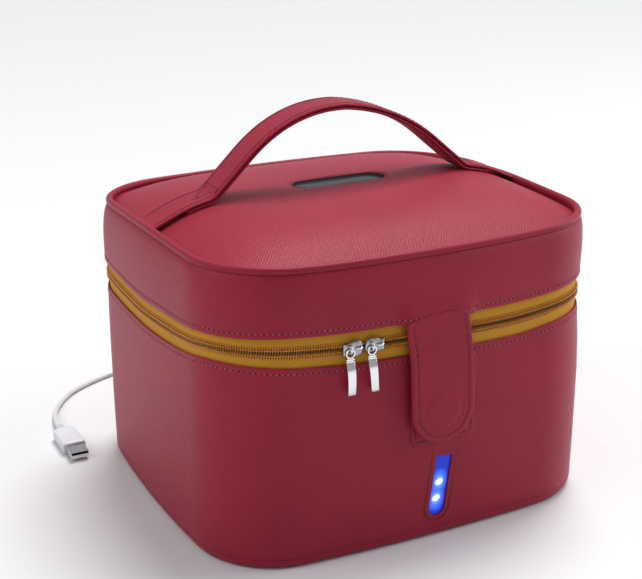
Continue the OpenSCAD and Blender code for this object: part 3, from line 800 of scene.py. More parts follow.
def strap_top():
    """The strap's upper line, (x, z) from the middle of the arch to the right foot's end."""
    line = []
    for step in range(25):
        a = math.pi / 2 - LEG_SLOPE * step / 24
        line.append((ARCH_RADIUS * math.cos(a), arch_z + ARCH_RADIUS * math.sin(a)))
    x, z = line[-1]
    step = 1.6 * MM
    while z > crown_height(x, 0) + STRAP_THICK + 0.6 * MM:
        x, z = x + step * math.cos(LEG_SLOPE), z - step * math.sin(LEG_SLOPE)
        line.append((x, z))
    while x < CASE_WIDTH / 2 - 4 * MM:
        x += 1.8 * MM
        line.append((x, crown_height(x, 0) + STRAP_THICK + 0.2 * MM))
    for _ in range(3):
        line = [line[0]] + [tuple((a[k] + 2 * b[k] + c[k]) / 4 for k in (0, 1)) for a, b,
            c in zip(line, line[1:], line[2:])] + [line[-1]]
    return line


def slump(x):
    """The arch leans: its right leg hangs lower than a circle and its left leg stands a little higher."""
    leg = math.sin(math.pi * min(abs(x) / (84 * MM), 1.0))
    return (-2.4 if x > 0 else 1.3) * MM * leg


def handle_line(level):
    """(x, z) along the strap from left foot to right, at a level above its underside."""
    top = strap_top()
    top = [(-x, z) for x, z in top[::-1]] + top[1:]
    top = [(x, z + slump(x)) for x, z in top]
    line = []
    for k, (x, z) in enumerate(top):
        ax, az = top[max(k - 1, 0)]
        bx, bz = top[min(k + 1, len(top) - 1)]
        length = math.hypot(bx - ax, bz - az)
        down = STRAP_THICK - level
        line.append((x + (bz - az) / length * down, z - (bx - ax) / length * down))
    return line


def strap_mesh(name, low, high, reach, inset):
    """A strap layer between two levels, reaching to a place along X. Its edges are rounded."""
    half = STRAP_HALF - inset
    lower, upper = handle_line(low), handle_line(high)
    pairs = [(a, b) for a, b in zip(lower, upper) if abs(a[0]) <= reach]
    section = [(-half + 0.4 * MM, 0), (-half, 0.3), (-half, 0.7), (-half + 0.5 * MM, 1),
        (-half + 2.2 * MM, 1.0), (-half + 2.8 * MM, 0.9),
               (-half + 3.4 * MM, 1.03), (-half * 0.5, 1.06), (0, 1.08)]
    section += [(-y, part) for y, part in section[-2::-1]]
    bm = bmesh.new()
    travelled = [0.0]
    for (a, b), (c, d) in zip(pairs, pairs[1:]):
        travelled.append(travelled[-1] + math.hypot(d[0] - b[0], d[1] - b[1]))
    rows = []
    for (a, b) in pairs:
        rows.append([Vector((a[0] + (b[0] - a[0]) * part, y, a[1] + (b[1] - a[1]) * part)) for y,
            part in section])

    def uv(row, column):
        y, part = section[column % len(section)]
        return travelled[row], y

    verts = grid_mesh(bm, rows, uv, closed_columns=True)
    bm.faces.new(verts[0][::-1])
    bm.faces.new(verts[-1])
    return finish_mesh(name, bm, 50)


handle_strap = add_piece("handle_strap", strap_mesh("handle_strap", 2.2 * MM, 4.3 * MM, 1.0, 0.0), leather)
handle_lining = add_piece("handle_lining", strap_mesh("handle_lining", 0.0, 2.05 * MM, 106 * MM, 0.25 * MM),
    leather_smooth)
for piece in (handle_strap, handle_lining):
    layer_over(piece, 1)
    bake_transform(piece)
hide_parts("handle_outer", "strap_root_left", "strap_root_right")
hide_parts("handle_inner")


# %% [markdown]
# ## Closure tab and its patch
# The tab is a leather tongue with a round foot. Its outline is shrunk step by step towards its middle,
# which gives rings that follow the edge: a rolled edge, a sewn groove, then the plain field, where the
# round magnet under the leather makes a faint raised disc.

# %% Tab shape
tab_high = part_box("tab_outer")[1]
TAB_TOP = tab_high[2]
TAB_TALL = 75.8 * MM
TAB_LEAN = math.radians(2.4)
TAB_BACK = -tab_high[1]
SNAP_UP = 55.3 * MM
TUCK = 4 * MM


def tab_place(across, down, out):
    """A place on the tab: across from its middle line, down from its upper edge, out from its back."""
    sin, cos = math.sin(TAB_LEAN), math.cos(TAB_LEAN)
    hang = ease(down / (24 * MM))
    x = TAB_X + across * cos + down * sin + (1.9 * hang - 1.2) * MM
    z = TAB_TOP + across * sin - down * cos
    return Vector((x, -(TAB_BACK + out + 1.2 * MM * hang), z))


def tongue_ring(half, tall, inset, sides=10, round_steps=24):
    """A tongue's outline shrunk by inset: down the left side, round the foot and up the right side."""
    radius = max(half - inset, 0.0)
    straight = tall - half
    down = [(-radius, (straight + TUCK) * k / sides - TUCK) for k in range(sides)]
    foot = [(-radius * math.cos(math.pi * k / round_steps),
        straight + radius * math.sin(math.pi * k / round_steps)) for k in range(round_steps + 1)]
    return down + foot + [(-x, z) for x, z in down[::-1]]


def tongue_mesh(name, place, half, tall, steps, field=None):
    """A tongue with a front of rings at (inset, height) steps and a flat back."""
    bm = bmesh.new()
    last = half
    front = [(inset, height) for inset, height in steps] + [(half * k, steps[-1][1]) for k in (0.3, 0.45, 0.6,
        0.8, 1.0)]
    back = [(last, 0.0), (half * 0.5, 0.0), (0.5 * MM, 0.0)]
    rows = []
    for inset, height in front:
        rows.append([(a, d, height) for a, d in tongue_ring(half, tall, inset)])
    back_rows = [[(a, d, 0.0) for a, d in tongue_ring(half, tall, inset)] for inset, _ in back[::-1]]
    flat = back_rows[::-1] + rows
    points = [[place(a, d, h + (field(a, d) if field and h > 0 else 0.0)) for a, d, h in row] for row in flat]

    def uv(row, column):
        a, d, h = flat[row % len(flat)][column]
        return a, d

    grid_mesh(bm, points, uv)
    bmesh.ops.remove_doubles(bm, verts=bm.verts, dist=0.00001)
    open_edges = [edge for edge in bm.edges if len(edge.link_faces) == 1]
    bmesh.ops.contextual_create(bm, geom=open_edges)
    return finish_mesh(name, bm, 50)


ROLLED = [(0.0, 0.6), (0.0, 1.4), (0.25, 2.2), (0.9, 2.65), (2.2, 2.75), (3.4, 2.62), (3.9, 2.42), (4.4, 2.62),
    (5.4, 2.72)]


def snap_disc(across, down):
    """The magnet's disc lifts the leather by a third of a millimetre."""
    distance = math.hypot(across, down - SNAP_UP)
    return 0.45 * MM * (1 - ease((distance - 9.6 * MM) / (1.8 * MM)))


tab = add_piece("closure_tongue", tongue_mesh("closure_tongue", tab_place, TAB_HALF, TAB_TALL,
    [(a * MM, b * MM) for a, b in ROLLED]), leather)
layer_over(tab, 2)
for vertex in tab.data.vertices:
    out = -vertex.co.y - TAB_BACK
    if out > 2.4 * MM:
        dx = vertex.co.x - TAB_X - 0.7 * MM
        dz = TAB_TOP - vertex.co.z
        across = dx * math.cos(TAB_LEAN) - dz * math.sin(TAB_LEAN)
        down = dx * math.sin(TAB_LEAN) + dz * math.cos(TAB_LEAN)
        vertex.co.y -= snap_disc(across, down)
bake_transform(tab)
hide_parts("tab_outer", "tab_backing")
print(f"tab from z {TAB_TOP:.3f} down {TAB_TALL:.3f}")

# %% [markdown]
# Behind the tab's foot a square patch is sewn to the wall, which holds the other magnet.

# %% Closure patch
patch_low, patch_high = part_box("closure_patch")
patch_low.z -= 4.4 * MM
patch_high.x += 1.5 * MM


def patch_mesh():
    bm = bmesh.new()
    wide, tall, corner = patch_high[0] - patch_low[0], patch_high[2] - patch_low[2], 5 * MM
    middle_x, middle_z = (patch_high[0] + patch_low[0]) / 2, (patch_high[2] + patch_low[2]) / 2
    rows = []
    for inset, out in ((0, 0.0), (0, 0.5), (0.3, 0.95), (1.2, 1.05), (2.2, 0.95), (2.7, 0.8), (3.2, 0.95),
        (6, 1.0), (11, 1.0), (17, 1.0)):
        row = []
        r = max(corner - inset * MM, 0.4 * MM)
        for quarter in range(4):
            sx, sz = ((1, 1), (-1, 1), (-1, -1), (1, -1))[quarter]
            for k in range(7):
                a = math.pi / 2 * (quarter + k / 6)
                x = middle_x + sx * (wide / 2 - inset * MM - r) + r * math.cos(a)
                z = middle_z + sz * (tall / 2 - inset * MM - r) + r * math.sin(a)
                row.append(front_point(x, z, 0.4 * MM + out * MM))
        rows.append(row)

    def uv(row, column):
        p = rows[row][column % 28]
        return p.x, p.z

    verts = grid_mesh(bm, rows, uv, closed_columns=True)
    bm.faces.new(verts[-1])
    bm.faces.new(verts[0][::-1])
    return finish_mesh("closure_patch_leather", bm, 50)


patch = add_piece("closure_patch_leather", patch_mesh(), leather)
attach(patch, "base")
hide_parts("closure_patch")

# %% [markdown]
# ## Hinge at the rear
# A leather strip is sewn over the gap between base and lid in place of the zip. It is one piece across
# the hinge line.

# %% Hinge strip
strip_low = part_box("hinge_strip_lower")
strip_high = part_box("hinge_strip_upper")
HINGE_HALF = strip_low[1][0]
HINGE_WIDER = 4 * MM


def hinge_mesh():
    bm = bmesh.new()
    z0, z1 = strip_low[0][2], strip_high[1][2]
    rows = []
    wide = 24
    outs = [(z0, 0.2), (z0, 0.9), (z0 + 0.6 * MM, 1.5), (z0 + 3 * MM, 1.65), (z0 + 3.8 * MM, 1.4),
        (z0 + 4.6 * MM, 1.65), (z0 + 12 * MM, 1.7),
            (BASE_TOP - 2 * MM, 1.8), (BASE_TOP + 1 * MM, 2.1), (BASE_TOP + 4 * MM, 2.5), (ZIP_MID, 2.6),
                (LID_EDGE - 4 * MM, 2.7), (LID_EDGE - 1 * MM, 2.6),
            (LID_EDGE + 3 * MM, 2.6), (z1 - 10 * MM, 2.5), (z1 - 4.6 * MM, 2.4), (z1 - 3.8 * MM, 2.1),
                (z1 - 3 * MM, 2.4), (z1 - 0.6 * MM, 2.3), (z1, 1.7), (z1, 1.1)]
    outs += [(z1 - 8 * MM, 1.1), (LID_EDGE, 1.2), (ZIP_MID, 1.3), (BASE_TOP, 0.6), (z0 + 8 * MM, 0.2)]
    for z, out in outs:
        row = []
        for k in range(wide + 1):
            x = (HINGE_HALF + HINGE_WIDER) * (2 * k / wide - 1)
            row.append(Vector((x, FRONT_Y - fall(x) + out * MM, z)))
        rows.append(row)

    def uv(row, column):
        p = rows[row % len(rows)][column]
        return p.x, p.z

    verts = grid_mesh(bm, rows, uv, closed_rows=True)
    bm.faces.new([row[0] for row in verts])
    bm.faces.new([row[-1] for row in verts][::-1])
    return finish_mesh("hinge_leather", bm, 50)


hinge_strip = add_piece("hinge_leather", hinge_mesh(), leather)
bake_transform(hinge_strip)
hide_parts("hinge_strip_lower", "hinge_strip_upper")

# %% [markdown]
# ## Rows that follow a path
# Stitches and zip teeth are one small shape set again and again along a line. A Geometry Nodes tree
# does it: the line becomes a curve, the curve is cut into equal steps, and the shape is set at each
# step, turned along the line and facing out of the surface. The shape is an ellipsoid thread or tooth,
# with a second, flatter one beside it: the needle hole of a stitch, drawn as a dark patch of painted
# shade, or the head of a tooth, in a darker nylon that is painted shade too.

# %% Row tree
def socket_in(tree, name, kind, value=None):
    socket = tree.interface.new_socket(name, in_out="INPUT", socket_type="NodeSocket" + kind)
    if value is not None:
        socket.default_value = value
    return socket


def build_row_tree():
    tree = bpy.data.node_groups.new("row_along_path", "GeometryNodeTree")
    socket_in(tree, "Path", "Geometry")
    tree.interface.new_socket("Row", in_out="OUTPUT", socket_type="NodeSocketGeometry")
    for name, kind, value in (("Pitch", "Float", 3.2 * MM), ("Thread size", "Vector", (1, 1, 1)),
        ("Thread turn", "Float", 0.0),
                              ("Second size", "Vector", (1, 1, 1)), ("Second place", "Vector", (0, 0, 0)),
                              ("Segments", "Int", 8), ("Thread finish", "Material", None),
                                  ("Second finish", "Material", None)):
        socket_in(tree, name, kind, value)
    entry = tree.nodes.new("NodeGroupInput")
    leave = tree.nodes.new("NodeGroupOutput")

    def node(kind, **settings):
        made = tree.nodes.new(kind)
        for key, value in settings.items():
            setattr(made, key, value)
        return made

    def join(source, target):
        tree.links.new(source, target)

    def grain(size, place, turned, finish):
        """One ellipsoid of the row's shape."""
        ball = node("GeometryNodeMeshUVSphere")
        ball.inputs["Rings"].default_value = 5
        ball.inputs["Radius"].default_value = 0.5
        join(entry.outputs["Segments"], ball.inputs["Segments"])
        stretch = node("GeometryNodeTransform")
        join(ball.outputs["Mesh"], stretch.inputs["Geometry"])
        join(entry.outputs[size], stretch.inputs["Scale"])
        if place:
            join(entry.outputs[place], stretch.inputs["Translation"])
        if turned:
            angles = node("ShaderNodeCombineXYZ")
            join(entry.outputs[turned], angles.inputs["Z"])
            join(angles.outputs["Vector"], stretch.inputs["Rotation"])
        smooth = node("GeometryNodeSetShadeSmooth")
        join(stretch.outputs["Geometry"], smooth.inputs["Geometry"])
        dress = node("GeometryNodeSetMaterial")
        join(smooth.outputs["Geometry"], dress.inputs["Geometry"])
        join(entry.outputs[finish], dress.inputs["Material"])
        return dress.outputs["Geometry"]

    shape = node("GeometryNodeJoinGeometry")
    join(grain("Thread size", None, "Thread turn", "Thread finish"), shape.inputs["Geometry"])
    join(grain("Second size", "Second place", None, "Second finish"), shape.inputs["Geometry"])
    curve = node("GeometryNodeMeshToCurve")
    join(entry.outputs["Path"], curve.inputs["Mesh"])
    steps = node("GeometryNodeResampleCurve", mode="LENGTH")
    join(curve.outputs["Curve"], steps.inputs["Curve"])
    join(entry.outputs["Pitch"], steps.inputs["Length"])
    along = node("GeometryNodeInputTangent")
    out = node("GeometryNodeInputNamedAttribute", data_type="FLOAT_VECTOR")
    out.inputs["Name"].default_value = "out"
    first = node("FunctionNodeAlignRotationToVector", axis="X")
    join(along.outputs["Tangent"], first.inputs["Vector"])
    second = node("FunctionNodeAlignRotationToVector", axis="Z", pivot_axis="X")
    join(first.outputs["Rotation"], second.inputs["Rotation"])
    join(out.outputs["Attribute"], second.inputs["Vector"])
    setting = node("GeometryNodeInstanceOnPoints")
    join(steps.outputs["Curve"], setting.inputs["Points"])
    join(shape.outputs["Geometry"], setting.inputs["Instance"])
    join(second.outputs["Rotation"], setting.inputs["Rotation"])
    real = node("GeometryNodeRealizeInstances")
    join(setting.outputs["Instances"], real.inputs["Geometry"])
    join(real.outputs["Geometry"], leave.inputs["Row"])
    return tree


row_tree = build_row_tree()
ROW_INPUTS = {item.name: item.identifier for item in row_tree.interface.items_tree if item.in_out == "INPUT"}


def row_piece(name, runs, **values):
    """A plain mesh of one shape set along lines. Each run is a list of (place, outward direction)."""
    bm = bmesh.new()
    mesh = bpy.data.meshes.new(name)
    directions = []
    for run in runs:
        last = None
        for place, outward in run:
            vertex = bm.verts.new(place)
            directions.append(outward.normalized())
            if last:
                bm.edges.new((last, vertex))
            last = vertex
    bm.verts.ensure_lookup_table()
    bm.to_mesh(mesh)
    bm.free()
    attribute = mesh.attributes.new("out", "FLOAT_VECTOR", "POINT")
    attribute.data.foreach_set("vector", [part for direction in directions for part in direction])
    piece = add_piece(name, mesh)
    modifier = piece.modifiers.new("row", "NODES")
    modifier.node_group = row_tree
    for key, value in values.items():
        modifier[ROW_INPUTS[key.replace("_", " ").capitalize()]] = value
    apply_modifiers(piece)
    return piece


# %% [markdown]
# The thread is a shade lighter than the leather, and the needle holes are flat, nearly black patches
# of painted shade, so a row reads as dark dashes with small bright stitches between them.

# %% Stitches
thread = Finish("sewing_thread", (0.44, 0.12, 0.17), 0.6)
thread.bump(thread.wave(thread.coordinates("Object", 30), 0.35 * MM), 0.06 * MM)
thread.colour(thread.noise(thread.coordinates(), 5 * MM),
    [(0.3, (0.36, 0.08, 0.12)), (0.7, (0.52, 0.17, 0.22))])
# Nearly black finish for the flat patches between stitches: painted shade standing in for the needle holes.
needle_hole_painted_shade = Finish("needle_hole_painted_shade", (0.06, 0.009, 0.016), 0.9)
needle_hole_painted_shade.bump(needle_hole_painted_shade.noise(needle_hole_painted_shade.coordinates(), 0.5 * MM), 0.05 * MM)
STITCH_PITCH = 3.2 * MM


dark_thread = Finish("dark_thread", (0.13, 0.014, 0.025), 0.6)
dark_thread.colour(dark_thread.noise(dark_thread.coordinates(), 5 * MM),
    [(0.3, (0.09, 0.01, 0.018)), (0.7, (0.18, 0.022, 0.038))])
dark_thread.bump(dark_thread.wave(dark_thread.coordinates("Object", 30), 0.35 * MM), 0.06 * MM)


def stitches(name, runs, pitch=STITCH_PITCH, size=1.0, dark=False):
    """A row of stitches: short threads that dip into holes, each hole a flat dark patch of painted shade."""
    return row_piece(name, runs, pitch=pitch, thread_size=(1.7 * MM * size, 0.62 * MM * size, 0.55 * MM * size),
        thread_turn=0.22,
        second_size=(1.5 * MM * size, 0.85 * MM * size, 0.24 * MM), second_place=(pitch / 2, 0, 0.0),
        segments=8, thread_finish=(dark_thread if dark else thread).material,
            second_finish=needle_hole_painted_shade.material)


def girth_run(outset, z, keep=lambda place: True, bulge=None):
    """Runs round the case at a distance and height, broken where keep says no."""
    runs, run = [], []
    for station in STATIONS + STATIONS[:1]:
        extra = bulge(station, z) if bulge else 0.0
        place = wall_point(station, outset + extra, z)
        if keep(place):
            run.append((place, Vector((math.cos(station[2]), math.sin(station[2]), 0))))
        elif run:
            runs.append(run)
            run = []
    if run:
        runs.append(run)
    return [run for run in runs if len(run) > 1]


def beside_hinge(place):
    return not (place.y > 0 and abs(place.x) < HINGE_HALF + 1 * MM)


BASE_ROW = 3.3 * MM
LID_ROW = 3.3 * MM
base_stitches = stitches("base_edge_stitches", girth_run(0.1 * MM, BASE_TOP - BASE_ROW, beside_hinge))
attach(base_stitches, "base")
lid_stitches = stitches("lid_edge_stitches", girth_run(1.0 * MM, LID_EDGE + LID_ROW, beside_hinge, over_tab))
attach(lid_stitches, "lid")


def tab_run(inset, out):
    ring = tongue_ring(TAB_HALF, TAB_TALL, inset)
    return [(tab_place(a, max(d, 1.5 * MM), out), Vector((0, -1, 0))) for a, d in ring]


tab_stitches = stitches("tab_stitches", [tab_run(4.0 * MM, 2.5 * MM)], 3.0 * MM, dark=True)
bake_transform(tab_stitches)


def box_run(x0, x1, z0, z1, out, steps=12):
    corners = [(x0, z1), (x1, z1), (x1, z0), (x0, z0), (x0, z1)]
    run = []
    for (ax, az), (bx, bz) in zip(corners, corners[1:]):
        for k in range(steps):
            x, z = ax + (bx - ax) * k / steps, az + (bz - az) * k / steps
            run.append((front_point(x, z, out), Vector((0, -1, 0))))
    return run + run[:1]


patch_stitches = stitches("patch_stitches",
    [box_run(patch_low[0] + 2.7 * MM, patch_high[0] - 2.7 * MM, patch_low[2] + 2.7 * MM,
        patch_high[2] - 2.7 * MM, 1.25 * MM)], 3.0 * MM, dark=True)
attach(patch_stitches, "base")

light_run = light_outline(3.0 * MM)
light_run = [light_run[1]] + light_run[2:] + [light_run[0]]


def filled(points, step=1.5 * MM):
    """The same line with points no further apart than a step."""
    line = []
    for (ax, az), (bx, bz) in zip(points, points[1:]):
        count = max(1, int(math.hypot(bx - ax, bz - az) / step))
        line += [(ax + (bx - ax) * k / count, az + (bz - az) * k / count) for k in range(count)]
    return line + [points[-1]]


light_stitches = stitches("light_window_stitches",
    [[(front_point(x, z, 0.42 * MM), Vector((0, -1, 0))) for x, z in filled(light_run)]], 2.4 * MM, 0.8,
        dark=True)
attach(light_stitches, "base")

around_window = []
for k in range(97):
    p = stadium_point(2 * math.pi * k / 96 + 0.001, WINDOW_HALF + 1.9 * MM, WINDOW_END + 1.9 * MM)
    around_window.append((Vector((p.x, p.y, crown_height(p.x, p.y) - 0.36 * MM)), Vector((0, 0, 1))))
window_stitches = stitches("control_window_stitches", [around_window], 2.4 * MM, 0.75, dark=True)
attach(window_stitches, "lid")


def strap_runs(side):
    """Both edge rows of the strap, on its upper face."""
    line = handle_line(4.32 * MM)
    run = []
    for k, (x, z) in enumerate(line):
        ax, az = line[max(k - 1, 0)]
        bx, bz = line[min(k + 1, len(line) - 1)]
        if abs(x) < CASE_WIDTH / 2 - 7 * MM:
            run.append((Vector((x, side * (STRAP_HALF - 2.8 * MM), z)), Vector((az - bz, 0, bx - ax))))
    return run


def strap_corner(side):
    """The sewn triangle at a foot: from one edge row to the middle and back to the other."""
    line = [p for p in handle_line(4.4 * MM) if p[0] * side > 0]
    feet = sorted(line, key=lambda p: abs(abs(p[0]) - 84 * MM))[0]
    tip = sorted(line, key=lambda p: abs(abs(p[0]) - 97 * MM))[0]
    edge = STRAP_HALF - 2.8 * MM
    slope = (tip[1] - feet[1]) / (abs(tip[0]) - abs(feet[0]))
    run = []
    for (ax, ay), (bx, by) in (((feet, edge), (feet, -edge)), ((feet, -edge), (tip, -edge * 0.35)),
        ((tip, -edge * 0.35), (feet, edge))):
        for k in range(9):
            t = k / 8
            x, z = ax[0] + (bx[0] - ax[0]) * t, ax[1] + (bx[1] - ax[1]) * t
            run.append((Vector((x, ay + (by - ay) * t, z)), Vector((-side * slope, 0, 1))))
    return run


strap_stitches = stitches("strap_stitches", [strap_runs(1), strap_runs(-1), strap_corner(1), strap_corner(-1)],
    3.6 * MM, 1.1, dark=True)
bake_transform(strap_stitches)

hinge_runs = []
for z, out in ((strip_low[0][2] + 3.8 * MM, 1.5 * MM), (strip_high[1][2] - 3.8 * MM, 2.2 * MM)):
    hinge_runs.append([(Vector((x, FRONT_Y - fall(x) + out, z)), Vector((0, 1, 0))) for x in
                       [(-HINGE_HALF + 4 * MM) * (1 - k / 20) + (HINGE_HALF - 4 * MM) * k / 20 for k in range(21)]])
hinge_stitches = stitches("hinge_stitches", hinge_runs)
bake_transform(hinge_stitches)
for piece in (base_stitches, lid_stitches, tab_stitches, patch_stitches, light_stitches, window_stitches,
    strap_stitches, hinge_stitches):
    print(piece.name, len(piece.data.polygons), "faces")

# %% [markdown]
# ## Zip
# Two woven tapes carry a nylon coil each, and the coils lock in the middle. The tape is a thin band
# behind the leather edges. Its weave is a herringbone: slanting ribs that change direction in columns.
# The coil's loops are a row of slanted teeth with round heads at the middle, and a sewn cord
# holds each coil along its outer side. The heads and the bits between the cord's loops are a darker
# copy of the same nylon: painted shade.

# %% Zip tape
TAPE_GOLD = (0.60, 0.285, 0.022)
tape_finish = Finish("zip_tape", TAPE_GOLD, 0.72)
place = tape_finish.coordinates("UV")
parts = tape_finish.node("SeparateXYZ")
tape_finish.link(place, parts.inputs["Vector"])
zigzag = tape_finish.maths("PINGPONG", parts.outputs["Y"], 1.9 * MM)
slanted = tape_finish.maths("ADD", parts.outputs["X"], tape_finish.maths("MULTIPLY", zigzag, 1.1))
ribs = tape_finish.maths("ABSOLUTE", tape_finish.maths("SINE",
    tape_finish.maths("MULTIPLY", slanted, math.pi / (1.25 * MM)), 0), 0)
fuzz = tape_finish.noise(place, 0.7 * MM)
weave = tape_finish.maths("ADD", tape_finish.maths("MULTIPLY", ribs, 0.7),
    tape_finish.maths("MULTIPLY", fuzz, 0.3))
tape_finish.colour(weave, [(0.12, shade(TAPE_GOLD, 0.38)), (0.45, shade(TAPE_GOLD, 0.95)),
    (0.8, shade(TAPE_GOLD, 1.25))])
tape_finish.bump(weave, 0.22 * MM, 0.9)
tape_finish.set("Specular IOR Level", 0.25)

tape_outside = [(-1.75, BASE_TOP / MM - 10), (-1.6, BASE_TOP / MM - 1), (-1.25, BASE_TOP / MM + 3),
    (-1.1, BASE_TOP / MM + 6), (-1.1, ZIP_MID / MM - 0.9),
                (-1.6, ZIP_MID / MM - 0.8), (-1.9, BASE_TOP / MM + 4), (-2.3, BASE_TOP / MM - 1),
                    (-2.4, BASE_TOP / MM - 10)]
tape_above = [(o, 2 * ZIP_MID / MM - z) for o, z in tape_outside]


def part_band(name, profile, keep, *materials):
    """A band that runs round the case only where keep says yes, with closed ends."""
    bm = bmesh.new()
    columns = [s for s in STATIONS if keep(wall_point(s, 0, ZIP_MID))]
    start = next(k for k in range(len(columns)) if columns[k][3] - columns[k - 1][3] > 20 * MM or columns[k][3] < columns[k - 1][3])
    columns = columns[start:] + columns[:start]
    rows = [[wall_point(s, o * MM, z * MM) for s in columns] for o, z in profile]

    def uv(row, column):
        o, z = profile[row % len(profile)]
        return columns[column][3], z * MM

    verts = grid_mesh(bm, rows, uv, closed_rows=True)
    bm.faces.new([row[0] for row in verts])
    bm.faces.new([row[-1] for row in verts][::-1])
    return add_piece(name, finish_mesh(name, bm, 60), *materials)


for name, body, profile, node in (("lower_tape", "base", tape_outside, "zip_tape_lower"),
    ("upper_tape", "lid", tape_above, "zip_tape_upper")):
    piece = part_band(name, profile, beside_hinge, tape_finish.material)
    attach(piece, body)
    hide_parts(node)

# %% Zip coils
COIL_PITCH = 1.45 * MM
nylon = Finish("coil_nylon", (0.68, 0.26, 0.015), 0.28)
nylon.colour(nylon.noise(nylon.coordinates(), 2 * MM), [(0.3, (0.58, 0.21, 0.012)), (0.7, (0.78, 0.31, 0.02))])
nylon.bump(nylon.noise(nylon.coordinates(), 0.8 * MM), 0.04 * MM)
nylon.set("Coat Weight", 0.3)
# A darker copy of the coil nylon: painted shade on the teeth's heads in the middle and between the cord's loops.
painted_shade_nylon = Finish("coil_head_painted_shade", (0.30, 0.12, 0.012), 0.35)
painted_shade_nylon.colour(painted_shade_nylon.noise(painted_shade_nylon.coordinates(), 2 * MM),
    [(0.3, (0.2, 0.075, 0.01)), (0.7, (0.36, 0.15, 0.018))])
painted_shade_nylon.bump(painted_shade_nylon.noise(painted_shade_nylon.coordinates(), 0.8 * MM), 0.04 * MM)


def coil_rows(name, body, node, sign):
    """Teeth, heads and the sewn cord of one coil. sign is -1 below the middle line and +1 above it."""
    middle = girth_run(-0.35 * MM, ZIP_MID + sign * 1.8 * MM, beside_hinge)
    teeth = row_piece(name + "_teeth", middle, pitch=COIL_PITCH, thread_size=(1.0 * MM, 1.5 * MM, 1.6 * MM),
        thread_turn=-0.3 * sign,
        second_size=(0.95 * MM, 1.7 * MM, 1.0 * MM), second_place=(0, -sign * 1.1 * MM, -0.3 * MM), segments=8,
        thread_finish=nylon.material, second_finish=painted_shade_nylon.material)
    cord = row_piece(name + "_sewing", girth_run(-0.85 * MM, ZIP_MID + sign * 3.2 * MM, beside_hinge),
        pitch=COIL_PITCH,
        thread_size=(1.15 * MM, 1.15 * MM, 0.85 * MM), thread_turn=0.5 * sign,
            second_size=(0.5 * MM, 1.3 * MM, 0.4 * MM),
        second_place=(0.72 * MM, 0, 0), segments=6, thread_finish=nylon.material,
            second_finish=painted_shade_nylon.material)
    for piece in (teeth, cord):
        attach(piece, body)
    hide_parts(node)
    print(name, len(teeth.data.polygons) + len(cord.data.polygons), "faces")


coil_rows("lower_coil", "base", "zip_coil_lower", -1)
coil_rows("upper_coil", "lid", "zip_coil_upper", 1)

# %% [markdown]
# ## Lofted parts
# The metal and moulded parts are lofts: rounded sections set one after another along a path. Each
# section is a middle point, a half width vector, a half height vector and how square it is.

# %% Loft helper
def loft(bm, sections, count=20, power=2.0, closed=False, material=0):
    rows = []
    for middle, side, up, *square in sections:
        bend = 2 / (square[0] if square else power)
        row = []
        for k in range(count):
            c, s = math.cos(2 * math.pi * (k + 0.5) / count), math.sin(2 * math.pi * (k + 0.5) / count)
            row.append(middle + side * math.copysign(abs(c) ** bend, c) + up * math.copysign(abs(s) ** bend, s))
        rows.append(row)
    verts = grid_mesh(bm, rows, lambda row, column: (row * MM, column * MM), closed, True, material)
    if not closed:
        bm.faces.new(verts[0][::-1]).material_index = material
        bm.faces.new(verts[-1]).material_index = material


def smoothed(points, steps=4):
    """A closed smooth line through a closed list of (x, z)."""
    drawn = []
    count = len(points)
    for k in range(count):
        a, b, c, d = (Vector((*points[(k + j) % count], 0)) for j in (-1, 0, 1, 2))
        for step in range(steps):
            t = step / steps
            p = 0.5 * (2 * b + (c - a) * t + (2 * a - 5 * b + 4 * c - d) * t**2 + (3 * b - a - 3 * c + d) * t**3)
            drawn.append((p.x, p.y))
    return drawn


# %% [markdown]
# ## Sliders and pulls
# Two nickel sliders meet nose to nose on the front. Each has a domed plate with a waisted tail, a
# bridge bar, and a small arch through which the pull's ring hangs. The pull is one casting: ring, a
# double collar, and a long blade that bows outwards.

# %% Nickel
nickel = Finish("nickel_plate", (0.80, 0.80, 0.82), 0.13, 1.0)
nickel_wear = nickel.noise(nickel.coordinates(), 4 * MM)
nickel.colour(nickel_wear, [(0.3, (0.76, 0.76, 0.785)), (0.7, (0.84, 0.84, 0.86))])
nickel.roughness(nickel.noise(nickel.coordinates(), 0.9 * MM), 0.09, 0.2)
nickel.bump(nickel.noise(nickel.coordinates(), 2.2 * MM), 0.015 * MM)


# Darker nickel for the sliders' plates: painted dark reflection and painted shade, darker than the metal's own
# colour.
painted_dark_nickel = Finish("nickel_painted_dark_reflection", (0.34, 0.34, 0.36), 0.2, 1.0)
painted_dark_nickel.colour(painted_dark_nickel.noise(painted_dark_nickel.coordinates(), 2.5 * MM),
    [(0.3, (0.24, 0.24, 0.26)), (0.7, (0.44, 0.44, 0.46))])
painted_dark_nickel.roughness(painted_dark_nickel.noise(painted_dark_nickel.coordinates(), 0.9 * MM), 0.15, 0.3)
painted_dark_nickel.bump(painted_dark_nickel.noise(painted_dark_nickel.coordinates(), 1.2 * MM), 0.03 * MM)


SLIDER_SHIFT = Vector((1.2 * MM, 0, -0.6 * MM))


def slider_place(at_x, turn, x, out, z):
    """A place in a slider's own frame: along the zip, out of the wall and up from the zip line."""
    angle = math.radians(turn)
    y = -out
    px, py = (x * math.cos(angle) - y * math.sin(angle)) * MM, (x * math.sin(angle) + y * math.cos(angle)) * MM
    return Vector((at_x * MM + px, -FRONT_Y + fall(at_x * MM) + py, ZIP_MID + z * MM)) + SLIDER_SHIFT


